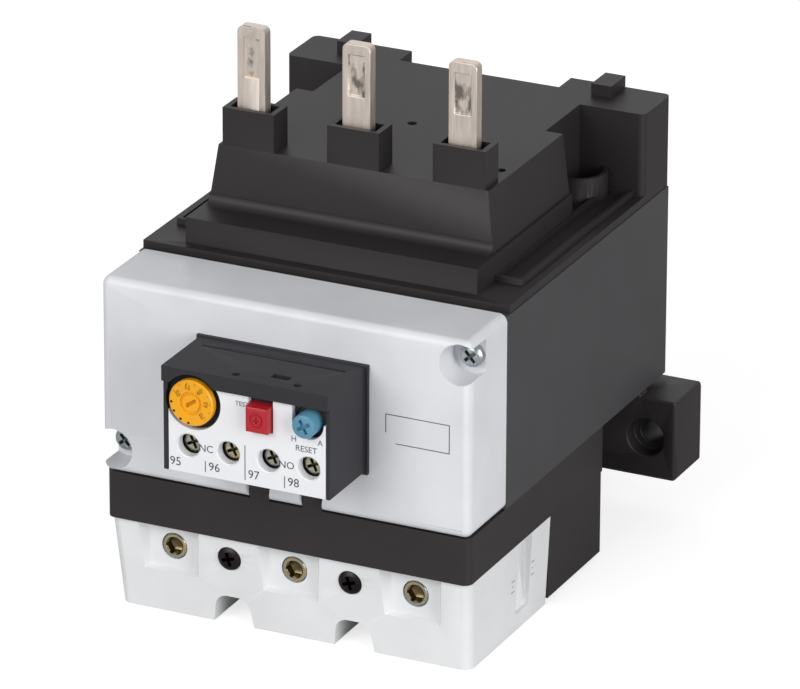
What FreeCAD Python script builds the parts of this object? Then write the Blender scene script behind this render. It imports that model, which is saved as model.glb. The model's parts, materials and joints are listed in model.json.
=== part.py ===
"""Three-pole thermal overload relay with plug-in blades, control module and box terminals.

Frame: +X to the right, +Y towards the mounting plane, +Z up. The origin is the middle of the
underside of the bounding box. Every sub-part is drawn with y = 0 at the front face of the front
cover and is then moved back by one shared placement. All lengths are in millimetres.
"""
import FreeCAD, Part
import math
import os
import re

import Sketcher
from FreeCAD import Placement, Rotation, Vector

SIZES = [
    # Main body and cover
    ("body_width", 90.8), ("body_depth", 108.4), ("body_height", 46.2), ("body_wall", 2.4),
    ("rear_wall", 3.0), ("body_round", 1.2), ("cover_depth", 19.0), ("cover_height", 46.8),
    ("cover_wall", 2.2), ("cover_round", 2.0), ("tongue_length", 2.5), ("tongue_wall", 1.6),
    ("pole_wall", 1.6), ("fit_gap", 0.2),
    ("seat_gap", 0.3), ("recess_inset", 2.8), ("recess_drop", 5.6), ("recess_radius", 4.8),
    ("recess_depth", 8.0), ("recess_floor", 2.4), ("recess_wall", 1.6),
    ("cover_bolt_radius", 1.6), ("cover_head_radius", 2.7), ("cover_head_height", 2.4),
    ("bolt_bite", 7.0), ("notch_pitch", 13.0), ("notch_width", 6.2), ("notch_height", 4.0),
    # Control module
    ("module_width", 40.6), ("module_height", 25.0), ("module_base", 12.2),
    ("module_reach", 18.5), ("module_inside", 29.0), ("module_wall", 1.8), ("face_wall", 1.9),
    ("rim_width", 0.7), ("rim_thick", 1.0), ("hood_height", 3.6), ("hood_reach", 1.0),
    ("label_thick", 1.6), ("label_left", 19.1), ("label_right", 19.3),
    ("dial_radius", 5.7), ("dial_thick", 2.4), ("dial_proud", 1.2), ("dial_across", 13.0),
    ("dial_rise", 17.3), ("dial_gap", 1.0), ("shaft_radius", 2.0), ("running_gap", 0.05),
    ("cam_radius", 3.4), ("cam_throw", 0.8), ("cam_thick", 3.0), ("cam_depth", 8.0),
    ("bearing_thick", 2.0), ("test_across", 3.5), ("test_rise", 16.6), ("test_width", 5.4),
    ("test_tall", 6.0), ("test_proud", 2.2), ("test_travel", 2.0), ("stem_width", 3.6),
    ("button_length", 14.0), ("reset_across", 15.0), ("reset_rise", 17.3),
    ("reset_radius", 2.8), ("reset_proud", 2.5), ("reset_travel", 2.5), ("sleeve_wall", 0.8),
    ("sleeve_length", 8.0), ("sleeve_sink", 0.4), ("spring_wire", 0.25), ("spring_length", 8.0),
    ("spring_radius", 1.4), ("spring_pitch", 1.6), ("spring_bore", 1.85), ("seat_depth", 4.0),
    ("seat_thick", 1.6), ("seat_low", 12.4),
    # Auxiliary terminals and contacts
    ("aux_pitch", 9.8), ("aux_shift", 0.5), ("aux_rise", 6.6), ("aux_hole", 2.9),
    ("aux_head_radius", 2.4), ("aux_head_height", 2.0), ("aux_head_sink", 2.4),
    ("aux_bolt_radius", 1.75), ("aux_bolt_length", 9.5), ("aux_travel", 2.4),
    ("divider_half", 1.7), ("divider_height", 11.0), ("divider_depth", 6.0),
    ("clamp_low", 3.2), ("clamp_thick", 1.3), ("clamp_gap", 0.1), ("plate_thick", 1.4),
    ("plate_depth", 8.4), ("tail_half", 1.5), ("tail_low", 8.8), ("tail_thick", 1.2),
    ("tab_depth", 10.8), ("tab_high", 13.8), ("bridge_thick", 0.8), ("bridge_low", 11.4),
    ("bridge_height", 2.4), ("bridge_reach", 1.6), ("contact_gap", 2.0), ("entry_half", 2.6),
    ("entry_front", 14.6), ("entry_depth", 6.4), ("carrier_low", 10.8), ("carrier_depth", 14.2),
    ("carrier_thick", 3.8), ("carrier_height", 4.0), ("carrier_rib", 3.0),
    # Lower section, terminals
    ("terminal_height", 34.0), ("section_width", 90.0), ("section_front", 1.0),
    ("block_half", 41.4), ("rear_block_half", 44.0),
    ("section_depth", 74.5), ("section_round", 2.0), ("shadow_gap", 0.3), ("section_lift", 1.5),
    ("tc_height", 22.3), ("tc_width", 89.2), ("tc_foot_width", 87.0), ("tc_top_front", 2.0),
    ("tc_foot_front", 5.0), ("tc_depth", 45.3), ("tc_wall", 1.6), ("tc_floor", 2.0),
    ("tc_inside", 7.4), ("tc_round", 2.4), ("pole_pitch", 30.0), ("screw_height", 16.2),
    ("square_half", 6.0), ("square_draft", 28.0),
    ("square_low", 11.2), ("square_floor", 5.2), ("hole_radius", 3.2), ("arch_half", 5.0), ("arch_head", 4.0),
    ("arch_height", 7.0), ("arch_round", 3.2), ("arch_wall", 1.6), ("arch_length", 36.0),
    ("gauge_front", 28.6), ("gauge_width", 6.8), ("gauge_low", 4.2), ("gauge_height", 17.6),
    ("gauge_depth", 1.0), ("small_head_radius", 2.7), ("small_head_height", 2.2),
    ("small_bolt_radius", 1.5), ("small_bolt_length", 14.0), ("sink_floor", 4.2),
    ("bay_half", 9.0), ("bay_front", 8.2), ("bay_depth", 36.4), ("bay_height", 25.0),
    ("cable_half", 7.2), ("cable_front", 16.6), ("cable_back", 34.4),
    ("cage_half", 7.4), ("cage_height", 14.0), ("cage_front", 13.6),
    ("cage_depth", 20.6), ("cage_wall", 2.2), ("cage_travel", 5.0),
    ("main_bolt_radius", 4.0), ("main_head_radius", 3.0), ("main_head_front", 5.2),
    ("main_head_length", 4.6), ("socket_radius", 1.9), ("socket_depth", 2.6),
    # Conductors
    ("bar_front", 18.2), ("bar_thick", 3.0), ("bar_half", 5.0), ("bar_low", 6.0),
    ("bar_step", 28.0), ("riser_half", 4.0), ("riser_thick", 2.6), ("riser_top", 62.0),
    ("blade_pitch", 26.0), ("blade_half", 3.45), ("blade_thick", 2.8), ("blade_front", 36.7),
    ("blade_low", 44.0), ("blade_top", 130.6), ("blade_round", 1.4), ("stamp_half", 2.0),
    ("stamp_height", 9.6), ("stamp_drop", 2.6), ("stamp_depth", 0.5), ("rivet_radius", 1.5),
    ("rivet_head", 2.6), ("rivet_head_height", 0.8), ("rivet_level", 50.0), ("tab_half", 3.6),
    ("tab_low", 46.0), ("tab_top", 58.0), ("tab_thick", 1.0), ("strip_thick", 1.2),
    ("strip_width", 7.9), ("strip_top", 74.0), ("strip_low", 53.4),
    # Trip mechanism
    ("slide_height", 70.5), ("slide_thick", 2.4), ("slide_back", 52.6), ("slide_left", 33.0),
    ("slide_right", 34.4), ("finger_gap", 0.3), ("finger_width", 2.4), ("lever_across", 37.2),
    ("lever_depth", 41.2),
    ("lever_hub", 3.0), ("lever_arm", 2.2), ("lever_gap", 0.5), ("pin_radius", 1.5),
    ("post_radius", 3.4), ("post_top", 66.0), ("pin_low", 60.0), ("arm_low", 75.0),
    ("arm_thick", 2.0), ("reach_across", 12.0), ("reach_depth", 32.0),
    # Mounting foot
    ("foot_width", 108.8), ("foot_thick", 15.0), ("foot_low", 13.4), ("foot_high", 33.0),
    ("foot_rib", 4.0), ("rib_pitch", 12.0), ("cell_half", 5.0), ("foot_round", 1.0), ("lug_pitch", 93.4), ("lug_rise", 23.2),
    ("lug_hole", 2.7), ("lug_sink", 4.6), ("lug_sink_depth", 4.0), ("arm_half", 28.0),
    ("arm_gap", 0.2), ("foot_bolt_pitch", 60.0), ("foot_bolt_radius", 2.0),
    ("foot_head_radius", 3.5), ("foot_head_height", 2.4), ("foot_head_sink", 3.4),
    ("long_bolt_pitch", 64.0), ("long_bolt_depth", 66.0), ("long_sink", 24.0),
    ("boss_radius", 4.4), ("boss_height", 8.0),
    # Top adapter
    ("flange_width", 90.4), ("flange_front", 20.6), ("flange_thick", 2.0), ("ledge_half", 36.0),
    ("ledge_front", 23.5), ("ledge_height", 8.0), ("deck_height", 22.0), ("wall_foot", 33.6),
    ("wall_head", 35.0), ("side_foot", 35.2), ("side_head", 33.4), ("pocket_half", 29.1),
    ("pocket_front", 74.5), ("pocket_back", 93.5), ("rear_half", 20.2), ("rear_notch", 6.8),
    ("adapter_wall", 2.4), ("chimney_half", 6.4), ("chimney_depth", 7.0),
    ("chimney_height", 9.0), ("slot_half", 5.1), ("slot_front", 36.2), ("slot_depth", 4.6),
    ("hook_right", 31.3), ("hook_left", 33.1), ("hook_half", 2.5), ("hook_depth", 8.0), ("hook_height", 2.7),
    ("cup_across", 30.5), ("cup_depth", 89.5), ("cup_radius", 7.0), ("cup_height", 6.0),
    ("rim_inner", 35.9), ("rim_outer", 42.8), ("rim_front", 32.6), ("rim_height", 1.4),
    ("rim_wall", 0.9), ("deck_hole", 1.1), ("deck_hole_depth", 65.8), ("side_hole", 30.4),
    ("side_hole_depth", 47.8), ("adapter_bolt_across", 32.6), ("adapter_bolt_depth", 88.0), ("lug_round", 1.6),
    ("cross_half", 0.45), ("cross_depth", 1.1),
]

doc = FreeCAD.newDocument("OverloadRelay")
sheet = doc.addObject("Spreadsheet::Sheet", "Sizes")
for row, (alias, value) in enumerate(SIZES, 1):
    sheet.set("A%d" % row, alias.replace("_", " "))
    sheet.set("B%d" % row, str(value))
    sheet.setAlias("B%d" % row, alias)
doc.recompute()

POLES = (("left", -1), ("middle", 0), ("right", 1))
AUX = (("95", -1.5), ("96", -0.5), ("97", 0.5), ("98", 1.5))
SIDES = (("left", -1), ("right", 1))
HALF_WIDTH = "body_width / 2"
BODY_TOP = "(terminal_height + body_height)"
COVER_TOP = "(terminal_height + cover_height)"
MODULE_FLOOR = "(terminal_height + module_base)"
MODULE_TOP = "(terminal_height + module_base + module_height)"
LABEL_BACK = "(label_thick - module_reach)"
FACE_BACK = "(label_thick - module_reach + face_wall)"
HOUSING_FLOOR = "(terminal_height + body_wall)"
AUX_LEVEL = "(terminal_height + module_base + aux_rise)"
PLATE_FRONT = "(0 - plate_depth)"
FLANGE_TOP = "(terminal_height + body_height + flange_thick)"
DECK = "(terminal_height + body_height + deck_height)"
BAR_BACK = "(bar_front + bar_thick)"
RISER_FRONT = "(blade_front + blade_thick)"
RISER_BACK = "(blade_front + blade_thick + riser_thick)"
pieces = []


def size(alias):
    """The value of one cell of the sheet."""
    return float(getattr(sheet, alias))


def tied(text):
    """An expression in which every name is a cell of the sheet."""
    return re.sub(r"[a-z_]{3,}\b(?!\()", lambda match: "Sizes." + match.group(0), text)


def bind(obj, prop, text):
    obj.setExpression(prop, tied(text))


def piece(label, obj):
    """Registers a finished sub-part and moves it from the drawing's front plane to the frame."""
    obj.Label = label
    bind(obj, "Placement.Base.y", "(module_reach + reset_proud - body_depth) / 2")
    pieces.append(obj)
    return obj


# ---------------------------------------------------------------- Part primitives

def block(name, x, y, z):
    """A box between a low and a high expression on each axis."""
    obj = doc.addObject("Part::Box", name)
    for side, axis, (low, high) in zip(("Length", "Width", "Height"), "xyz", (x, y, z)):
        bind(obj, side, "(%s) - (%s)" % (high, low))
        bind(obj, "Placement.Base." + axis, low)
    return obj


TURNS = {"x": Rotation(Vector(0, 1, 0), 90), "y": Rotation(Vector(1, 0, 0), -90),
         "z": Rotation()}


def rod(name, axis, radius, span, across, kind="Part::Cylinder"):
    """A cylinder along one axis; across is its centre on the two other axes."""
    obj = doc.addObject(kind, name)
    bind(obj, "Radius", radius)
    bind(obj, "Height", "(%s) - (%s)" % (span[1], span[0]))
    obj.Placement = Placement(Vector(), TURNS[axis])
    bind(obj, "Placement.Base." + axis, span[0])
    for other, place in zip([a for a in "xyz" if a != axis], across):
        bind(obj, "Placement.Base." + other, place)
    return obj


def hexagon(name, radius, span, across):
    """A hexagonal prism along +Y with the given corner radius."""
    obj = doc.addObject("Part::Prism", name)
    obj.Polygon = 6
    bind(obj, "Circumradius", radius)
    bind(obj, "Height", "(%s) - (%s)" % (span[1], span[0]))
    obj.Placement = Placement(Vector(), TURNS["y"])
    for axis, place in zip("xyz", (across[0], span[0], across[1])):
        bind(obj, "Placement.Base." + axis, place)
    return obj


def fuse(name, *shapes):
    obj = doc.addObject("Part::MultiFuse", name)
    obj.Shapes = list(shapes)
    obj.Refine = True
    return obj


def cut(name, base, *tools):
    obj = doc.addObject("Part::Cut", name)
    obj.Base = base
    obj.Tool = tools[0] if len(tools) == 1 else fuse(name + "_tools", *tools)
    return obj


def group(name, *solids):
    obj = doc.addObject("Part::Compound", name)
    obj.Links = list(solids)
    return obj


# ---------------------------------------------------------------- PartDesign features

def origin_plane(owner, plane):
    role = {"xy": "XY_Plane", "xz": "XZ_Plane", "yz": "YZ_Plane"}[plane]
    return next(f for f in owner.Origin.OriginFeatures if f.Role == role)


def draw_polygon(drawing, corners):
    """A closed outline whose corners are all dimensioned from the sketch origin."""
    first = drawing.GeometryCount
    count = len(corners)
    turns = [2 * math.pi * i / count for i in range(count)]
    spots = [Vector(math.cos(turn), math.sin(turn), 0) for turn in turns]
    for i in range(count):
        drawing.addGeometry(Part.LineSegment(spots[i], spots[(i + 1) % count]), False)
    for i in range(count):
        link = ("Coincident", first + i, 2, first + (i + 1) % count, 1)
        drawing.addConstraint(Sketcher.Constraint(*link))
    for i, corner in enumerate(corners):
        starts = (spots[i].x, spots[i].y)
        for kind, text, start in zip(("DistanceX", "DistanceY"), corner, starts):
            rule = Sketcher.Constraint(kind, -1, 1, first + i, 1, start)
            number = drawing.addConstraint(rule)
            bind(drawing, "Constraints[%d]" % number, text)


def draw_circle(drawing, across, up, radius):
    number = drawing.addGeometry(Part.Circle(Vector(0.5, 0.2, 0), Vector(0, 0, 1), 1.0), False)
    rules = (("DistanceX", (-1, 1, number, 3, 0.5), across),
             ("DistanceY", (-1, 1, number, 3, 0.2), up), ("Radius", (number, 1.0), radius))
    for kind, where, text in rules:
        rule = drawing.addConstraint(Sketcher.Constraint(kind, *where))
        bind(drawing, "Constraints[%d]" % rule, text)


def sketch(owner, name, plane, level, loops):
    """A sketch on an origin plane, moved to a level along +X, +Y or +Z."""
    drawing = owner.newObject("Sketcher::SketchObject", name)
    drawing.AttachmentSupport = [(origin_plane(owner, plane), "")]
    drawing.MapMode = "FlatFace"
    bind(drawing, "AttachmentOffset.Base.z", level if plane != "xz" else "0 - (%s)" % level)
    for loop in loops:
        if isinstance(loop, tuple):
            draw_circle(drawing, *loop)
        else:
            draw_polygon(drawing, loop)
    return drawing


def pad(owner, name, plane, low, high, *loops):
    drawing = sketch(owner, name + "_sketch", plane, low, loops)
    feature = owner.newObject("PartDesign::Pad", name)
    feature.Profile = drawing
    feature.Reversed = plane == "xz"
    bind(feature, "Length", "(%s) - (%s)" % (high, low))
    return feature


def pocket(owner, name, plane, low, high, *loops):
    drawing = sketch(owner, name + "_sketch", plane, low, loops)
    feature = owner.newObject("PartDesign::Pocket", name)
    feature.Profile = drawing
    feature.Reversed = plane != "xz"
    bind(feature, "Length", "(%s) - (%s)" % (high, low))
    return feature


def loft(owner, name, plane, low, high, foot, head):
    """A straight-sided loft between two outlines with as many corners."""
    first = sketch(owner, name + "_foot", plane, low, [foot])
    second = sketch(owner, name + "_head", plane, high, [head])
    feature = owner.newObject("PartDesign::AdditiveLoft", name)
    feature.Profile = first
    feature.Sections = [second]
    feature.Ruled = True
    return feature


def edges_of(feature, test):
    found = ["Edge%d" % (i + 1) for i, edge in enumerate(feature.Shape.Edges) if test(edge)]
    if not found:
        raise ValueError("no edge to round on " + feature.Name)
    return found


def dress(owner, name, kind, amount, test):
    """A fillet or a chamfer on the edges of the body's tip that pass the test."""
    doc.recompute()
    base = owner.Tip
    edges = edges_of(base, test)
    feature = owner.newObject("PartDesign::" + kind, name)
    feature.Base = (base, edges)
    bind(feature, "Radius" if kind == "Fillet" else "Size", amount)
    return feature


def line_at(along, **places):
    """Tests for straight edges along one axis; an x place counts on both sides."""
    def test(edge):
        box = edge.BoundBox
        spans = {"x": box.XLength, "y": box.YLength, "z": box.ZLength}
        if any(spans[axis] > 0.01 for axis in "xyz" if axis != along) or spans[along] < 0.01:
            return False
        middle = {"x": abs(box.Center.x), "y": box.Center.y, "z": box.Center.z}
        return all(abs(middle[axis] - place) < 0.02 for axis, place in places.items())
    return test


def any_of(*tests):
    return lambda edge: any(test(edge) for test in tests)


def rect(left, right, low, high):
    return [(left, low), (right, low), (right, high), (left, high)]


def centred(half, low, high):
    return rect("0 - (%s)" % half, half, low, high)


def offset(side, distance, shift="0"):
    """The expression of a place on the left (-1) or right (1) side."""
    return "%g * (%s) + %s" % (side, distance, shift)


# ---------------------------------------------------------------- Fasteners

def bolt(name, axis, across, head, head_span, stem, stem_span, face):
    """A headed bolt; the cross slot is in the head's low or high face."""
    whole = fuse(name + "_whole", rod(name + "_head", axis, head, head_span, across),
                 rod(name + "_stem", axis, stem, stem_span, across))
    low, high = head_span
    span = ((low, low + " + cross_depth") if face == "low"
            else ("%s - cross_depth" % high, high))
    others = [a for a in "xyz" if a != axis]
    slots = []
    for i in range(2):
        half = ["cross_half", "cross_half"]
        half[i] = "0.62 * (%s)" % head
        spans = {axis: span}
        for a, place, reach in zip(others, across, half):
            spans[a] = ("%s - %s" % (place, reach), "%s + %s" % (place, reach))
        slots.append(block("%s_slot_%d" % (name, i), spans["x"], spans["y"], spans["z"]))
    return cut(name, whole, *slots)


def ring(name, axis, outer, inner, span, across):
    return cut(name, rod(name + "_outer", axis, outer, span, across),
               rod(name + "_inner", axis, inner, span, across))


# ---------------------------------------------------------------- Main housing and cover

def recess_place(k):
    """The centre of a cover-screw recess: low on the left, high on the right."""
    across = offset(k, "(body_width / 2 - recess_inset)")
    up = "terminal_height + recess_drop" if k < 0 else COVER_TOP + " - recess_drop"
    return across, up


def recess_rect(k, growth):
    """The corner block around a recess, grown by a clearance on its two inner sides."""
    inner = "recess_inset + recess_radius + recess_wall + " + growth
    edge = offset(k, "(body_width / 2 - cover_wall / 2)")
    inside = offset(k, "(body_width / 2 - %s)" % inner.replace(" + ", " - "))
    drop = "recess_drop + recess_radius + recess_wall + " + growth
    if k < 0:
        return rect(edge, inside, "terminal_height + cover_wall / 2", "terminal_height + " + drop)
    return rect(inside, edge, "%s - (%s)" % (COVER_TOP, drop), COVER_TOP + " - cover_wall / 2")


def make_main_housing():
    shell = doc.addObject("PartDesign::Body", "MainHousing")
    pad(shell, "HousingBlock", "xz", "cover_depth", "body_depth",
        centred(HALF_WIDTH, "terminal_height", BODY_TOP))
    half = size("body_width") / 2
    top = size("terminal_height") + size("body_height")
    back = size("body_depth")
    dress(shell, "HousingRound", "Fillet", "body_round",
          any_of(line_at("z", x=half, y=back), line_at("x", z=top, y=back),
                 line_at("x", z=size("terminal_height"), y=back)))
    pocket(shell, "HousingHollow", "xz", "cover_depth", "body_depth - rear_wall",
           centred("body_width / 2 - body_wall", HOUSING_FLOOR, BODY_TOP + " - body_wall"))
    outer = "(body_width / 2 - cover_wall - fit_gap)"
    low = "(terminal_height + cover_wall + fit_gap)"
    high = "(%s - cover_wall - fit_gap)" % COVER_TOP
    pad(shell, "HousingTongue", "xz", "cover_depth - tongue_length", "cover_depth + body_wall",
        centred(outer, low, high),
        centred(outer + " - tongue_wall", low + " + tongue_wall", high + " - tongue_wall - 0.6"))
    window = "blade_pitch + slot_half + 1"
    pocket(shell, "BladeWindow", "xy", BODY_TOP + " - body_wall", BODY_TOP,
           centred(window, "blade_front - 2", RISER_BACK + " + 2.4"))
    for side, k in POLES:
        pocket(shell, "RiserWindow_" + side, "xy", "terminal_height", HOUSING_FLOOR,
               rect(offset(k, "blade_pitch", "0 - riser_half - 1"),
                    offset(k, "blade_pitch", "riser_half + 1"),
                    RISER_FRONT + " - 1", RISER_BACK + " + 1"))
    boss_top = HOUSING_FLOOR + " + boss_height"
    for side, k in SIDES:
        across, up = recess_place(k)
        pocket(shell, "TongueGap_" + side, "xz", "cover_depth - tongue_length", "cover_depth",
               recess_rect(k, "fit_gap"))
        edge = sorted((offset(k, "(body_width / 2 - 1)"),
                       offset(k, "(body_width / 2 - recess_inset - 3.4)")), key=len)
        left, right = (edge if k < 0 else edge[::-1])
        pad(shell, "CoverBoss_" + side, "xz", "cover_depth", "cover_depth + bolt_bite",
            rect(left, right, up + " - 3.4", up + " + 3.4"))
        pocket(shell, "CoverThread_" + side, "xz", "cover_depth", "cover_depth + bolt_bite",
               (across, up, "cover_bolt_radius + running_gap"))
        for name, place, depth, radius in (
                ("Foot", "foot_bolt_pitch / 2", "body_depth - foot_thick / 2",
                 "foot_bolt_radius"),
                ("Section", "long_bolt_pitch / 2", "long_bolt_depth", "foot_bolt_radius")):
            spot = offset(k, place)
            pad(shell, name + "Boss_" + side, "xy", "terminal_height + 0.5", boss_top,
                (spot, depth, "boss_radius"))
            pocket(shell, name + "Thread_" + side, "xy", "terminal_height", boss_top,
                   (spot, depth, radius + " + running_gap"))
        spot = offset(k, "adapter_bolt_across")
        ceiling = BODY_TOP + " - body_wall - boss_height"
        pad(shell, "AdapterBoss_" + side, "xy", ceiling, BODY_TOP + " - 0.5",
            (spot, "adapter_bolt_depth", "small_bolt_radius + 1.8"))
        pocket(shell, "AdapterThread_" + side, "xy", ceiling, BODY_TOP,
               (spot, "adapter_bolt_depth", "small_bolt_radius + running_gap"))
        place = offset(k, "blade_pitch / 2")
        pad(shell, "PoleWall_" + side, "xy", "terminal_height + 0.5",
            "slide_height - seat_gap",
            rect(place + " - pole_wall / 2", place + " + pole_wall / 2",
                 RISER_FRONT + " + seat_gap", "body_depth - rear_wall / 2"))
    pad(shell, "LeverPost", "xy", "terminal_height + 0.5", "post_top",
        ("lever_across", "lever_depth", "post_radius"))
    pocket(shell, "PinSeat", "xy", "pin_low", "post_top",
           ("lever_across", "lever_depth", "pin_radius + running_gap"))
    piece("main_housing", shell)


def make_front_cover():
    cover = doc.addObject("PartDesign::Body", "FrontCover")
    pad(cover, "CoverBlock", "xz", "0", "cover_depth",
        centred(HALF_WIDTH, "terminal_height", COVER_TOP))
    half = size("body_width") / 2
    low = size("terminal_height")
    top = low + size("cover_height")
    dress(cover, "CoverRound", "Fillet", "cover_round",
          any_of(line_at("z", x=half, y=0), line_at("x", z=top, y=0), line_at("x", z=low, y=0),
                 line_at("y", x=half, z=top), line_at("y", x=half, z=low)))
    pocket(cover, "CoverHollow", "xz", "cover_wall", "cover_depth",
           centred("body_width / 2 - cover_wall", "terminal_height + cover_wall",
                   COVER_TOP + " - cover_wall"))
    for side, k in SIDES:
        across, up = recess_place(k)
        pad(cover, "RecessBlock_" + side, "xz", "cover_wall / 2", "cover_depth",
            recess_rect(k, "0"))
        pocket(cover, "Recess_" + side, "xz", "0", "recess_depth", (across, up, "recess_radius"))
        pocket(cover, "RecessHole_" + side, "xz", "recess_depth - 0.5", "cover_depth",
               (across, up, "cover_bolt_radius + 0.15"))
        notch = offset(k, "notch_pitch / 2")
        left, right = notch + " - notch_width / 2", notch + " + notch_width / 2"
        pocket(cover, "Notch_" + side, "xz", "0", "cover_wall",
               [(left + " + 0.5", "terminal_height"), (right + " - 0.5", "terminal_height"),
                (right, "terminal_height + notch_height"),
                (left, "terminal_height + notch_height")])
        pocket(cover, "NotchFloor_" + side, "xy", "terminal_height",
               "terminal_height + cover_wall",
               rect(left + " + 0.5", right + " - 0.5", "cover_wall / 2", "cover_wall + 3"))
    pocket(cover, "ModuleWindow", "xz", "0", "cover_wall",
           centred("module_width / 2 - fit_gap", MODULE_FLOOR + " + fit_gap",
                   MODULE_TOP + " - fit_gap"))
    piece("front_cover", cover)


def make_cover_screws():
    bolts = []
    for side, k in SIDES:
        head = ("recess_depth - cover_head_height", "recess_depth")
        bolts.append(bolt("CoverBolt_" + side, "y", recess_place(k), "cover_head_radius", head,
                          "cover_bolt_radius", ("recess_depth", "cover_depth + bolt_bite - 0.5"),
                          "low"))
    piece("cover_screws", group("CoverBolts", *bolts))


# ---------------------------------------------------------------- Control module

def make_module_housing():
    shell = doc.addObject("PartDesign::Body", "ModuleHousing")
    half = "module_width / 2"
    pad(shell, "ModuleFront", "xz", LABEL_BACK, "0", centred(half, MODULE_FLOOR, MODULE_TOP))
    pad(shell, "ModuleRear", "xz", "0 - 1", "module_inside",
        centred(half + " - 2 * fit_gap", MODULE_FLOOR + " + 2 * fit_gap",
                MODULE_TOP + " - 2 * fit_gap"))
    pad(shell, "ModuleRim", "xz", "0 - rim_thick", "0",
        centred(half + " + rim_width", MODULE_FLOOR + " - rim_width",
                MODULE_TOP + " + rim_width / 2"))
    pocket(shell, "ModuleHollow", "xz", FACE_BACK, "module_inside",
           centred(half + " - module_wall", MODULE_FLOOR + " + module_wall",
                   MODULE_TOP + " - module_wall"))
    pad(shell, "Hood", "xz", "0 - module_reach - hood_reach", LABEL_BACK + " + 0.5",
        centred(half, MODULE_TOP + " - hood_height", MODULE_TOP))
    for side, low, high in (("left", "0 - " + half, "0 - label_left - fit_gap"),
                            ("right", "label_right + fit_gap", half)):
        pad(shell, "Cheek_" + side, "xz", "0 - module_reach", LABEL_BACK + " + 0.5",
            rect(low, high, MODULE_FLOOR, MODULE_TOP + " - 1"))
    dial = ("0 - dial_across", MODULE_FLOOR + " + dial_rise")
    test = ("test_across", MODULE_FLOOR + " + test_rise")
    reset = ("reset_across", MODULE_FLOOR + " + reset_rise")
    pocket(shell, "HoodArc", "xz", "0 - module_reach - hood_reach", LABEL_BACK,
           dial + ("dial_radius + dial_gap",))
    roof = MODULE_TOP + " - module_wall / 2"
    pad(shell, "DialBearing", "xz", "0 - divider_depth", "bearing_thick - divider_depth",
        rect("module_wall / 2 - module_width / 2", dial[0] + " + cam_radius + cam_throw",
             dial[1] + " - shaft_radius - 2", roof))
    pocket(shell, "DialBore", "xz", LABEL_BACK, "bearing_thick - divider_depth",
           dial + ("shaft_radius + running_gap",))
    pad(shell, "SpringSeat", "xz", "0 - seat_depth", "seat_thick - seat_depth",
        rect("test_across - test_width / 2 - 1", half + " - module_wall / 2",
             MODULE_FLOOR + " + seat_low", roof))
    stop = LABEL_BACK + " + sleeve_sink + sleeve_length + fit_gap"
    pad(shell, "SleeveStop", "xz", stop, "0 - seat_depth - reset_travel + 0.6",
        rect(reset[0] + " - reset_radius - sleeve_wall - 0.4", half + " - module_wall / 2",
             MODULE_FLOOR + " + seat_low", roof))
    pocket(shell, "ResetBore", "xz", LABEL_BACK, "0 - seat_depth - 0.05",
           reset + ("reset_radius + running_gap",))
    pocket(shell, "SleeveBore", "xz", LABEL_BACK, stop,
           reset + ("reset_radius + sleeve_wall + 2 * running_gap",))
    pocket(shell, "TestBore", "xz", LABEL_BACK, FACE_BACK,
           rect(test[0] + " - test_width / 2 - running_gap",
                test[0] + " + test_width / 2 + running_gap",
                test[1] + " - test_tall / 2 - running_gap",
                test[1] + " + test_tall / 2 + running_gap"))
    floor = MODULE_FLOOR + " + module_wall / 2"
    for i in (-1, 0, 1):
        place = "aux_shift + %d * aux_pitch" % i
        pad(shell, "Divider_%d" % (i + 2), "xz", FACE_BACK + " - 0.5", "0 - divider_depth",
            rect(place + " - divider_half", place + " + divider_half", floor,
                 MODULE_FLOOR + " + divider_height"))
    for name, k in AUX:
        place = "aux_shift + %g * aux_pitch" % k
        pocket(shell, "AuxHole_" + name, "xz", LABEL_BACK, FACE_BACK,
               (place, AUX_LEVEL, "aux_hole"))
        pocket(shell, "WireEntry_" + name, "xy", MODULE_FLOOR, MODULE_FLOOR + " + module_wall",
               rect(place + " - entry_half", place + " + entry_half", "0 - entry_front",
                    "entry_depth - entry_front"))
    pad(shell, "CarrierRib", "xz", "carrier_depth", "carrier_depth + carrier_thick + 4",
        rect("0 - carrier_rib", "carrier_rib", floor,
             MODULE_FLOOR + " + carrier_low - seat_gap"))
    roof = MODULE_TOP + " - module_wall"
    for name, across, back in (("left", "0 - 3.2", "1.6"), ("right", "11.6", "1.8")):
        pocket(shell, "TopHole_" + name, "xy", roof, MODULE_TOP,
               (across, "%s - module_reach" % back, "0.9"))
    pocket(shell, "TopSlot", "xy", roof, MODULE_TOP,
           rect("4.2", "8.6", "3.4 - module_reach", "5.4 - module_reach"))
    pocket(shell, "TopGroove", "xy", MODULE_TOP + " - 0.6", MODULE_TOP,
           rect("0 - 17.4", "17.7", "0 - 5.6", "0 - 4.9"))
    piece("module_housing", shell)


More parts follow.
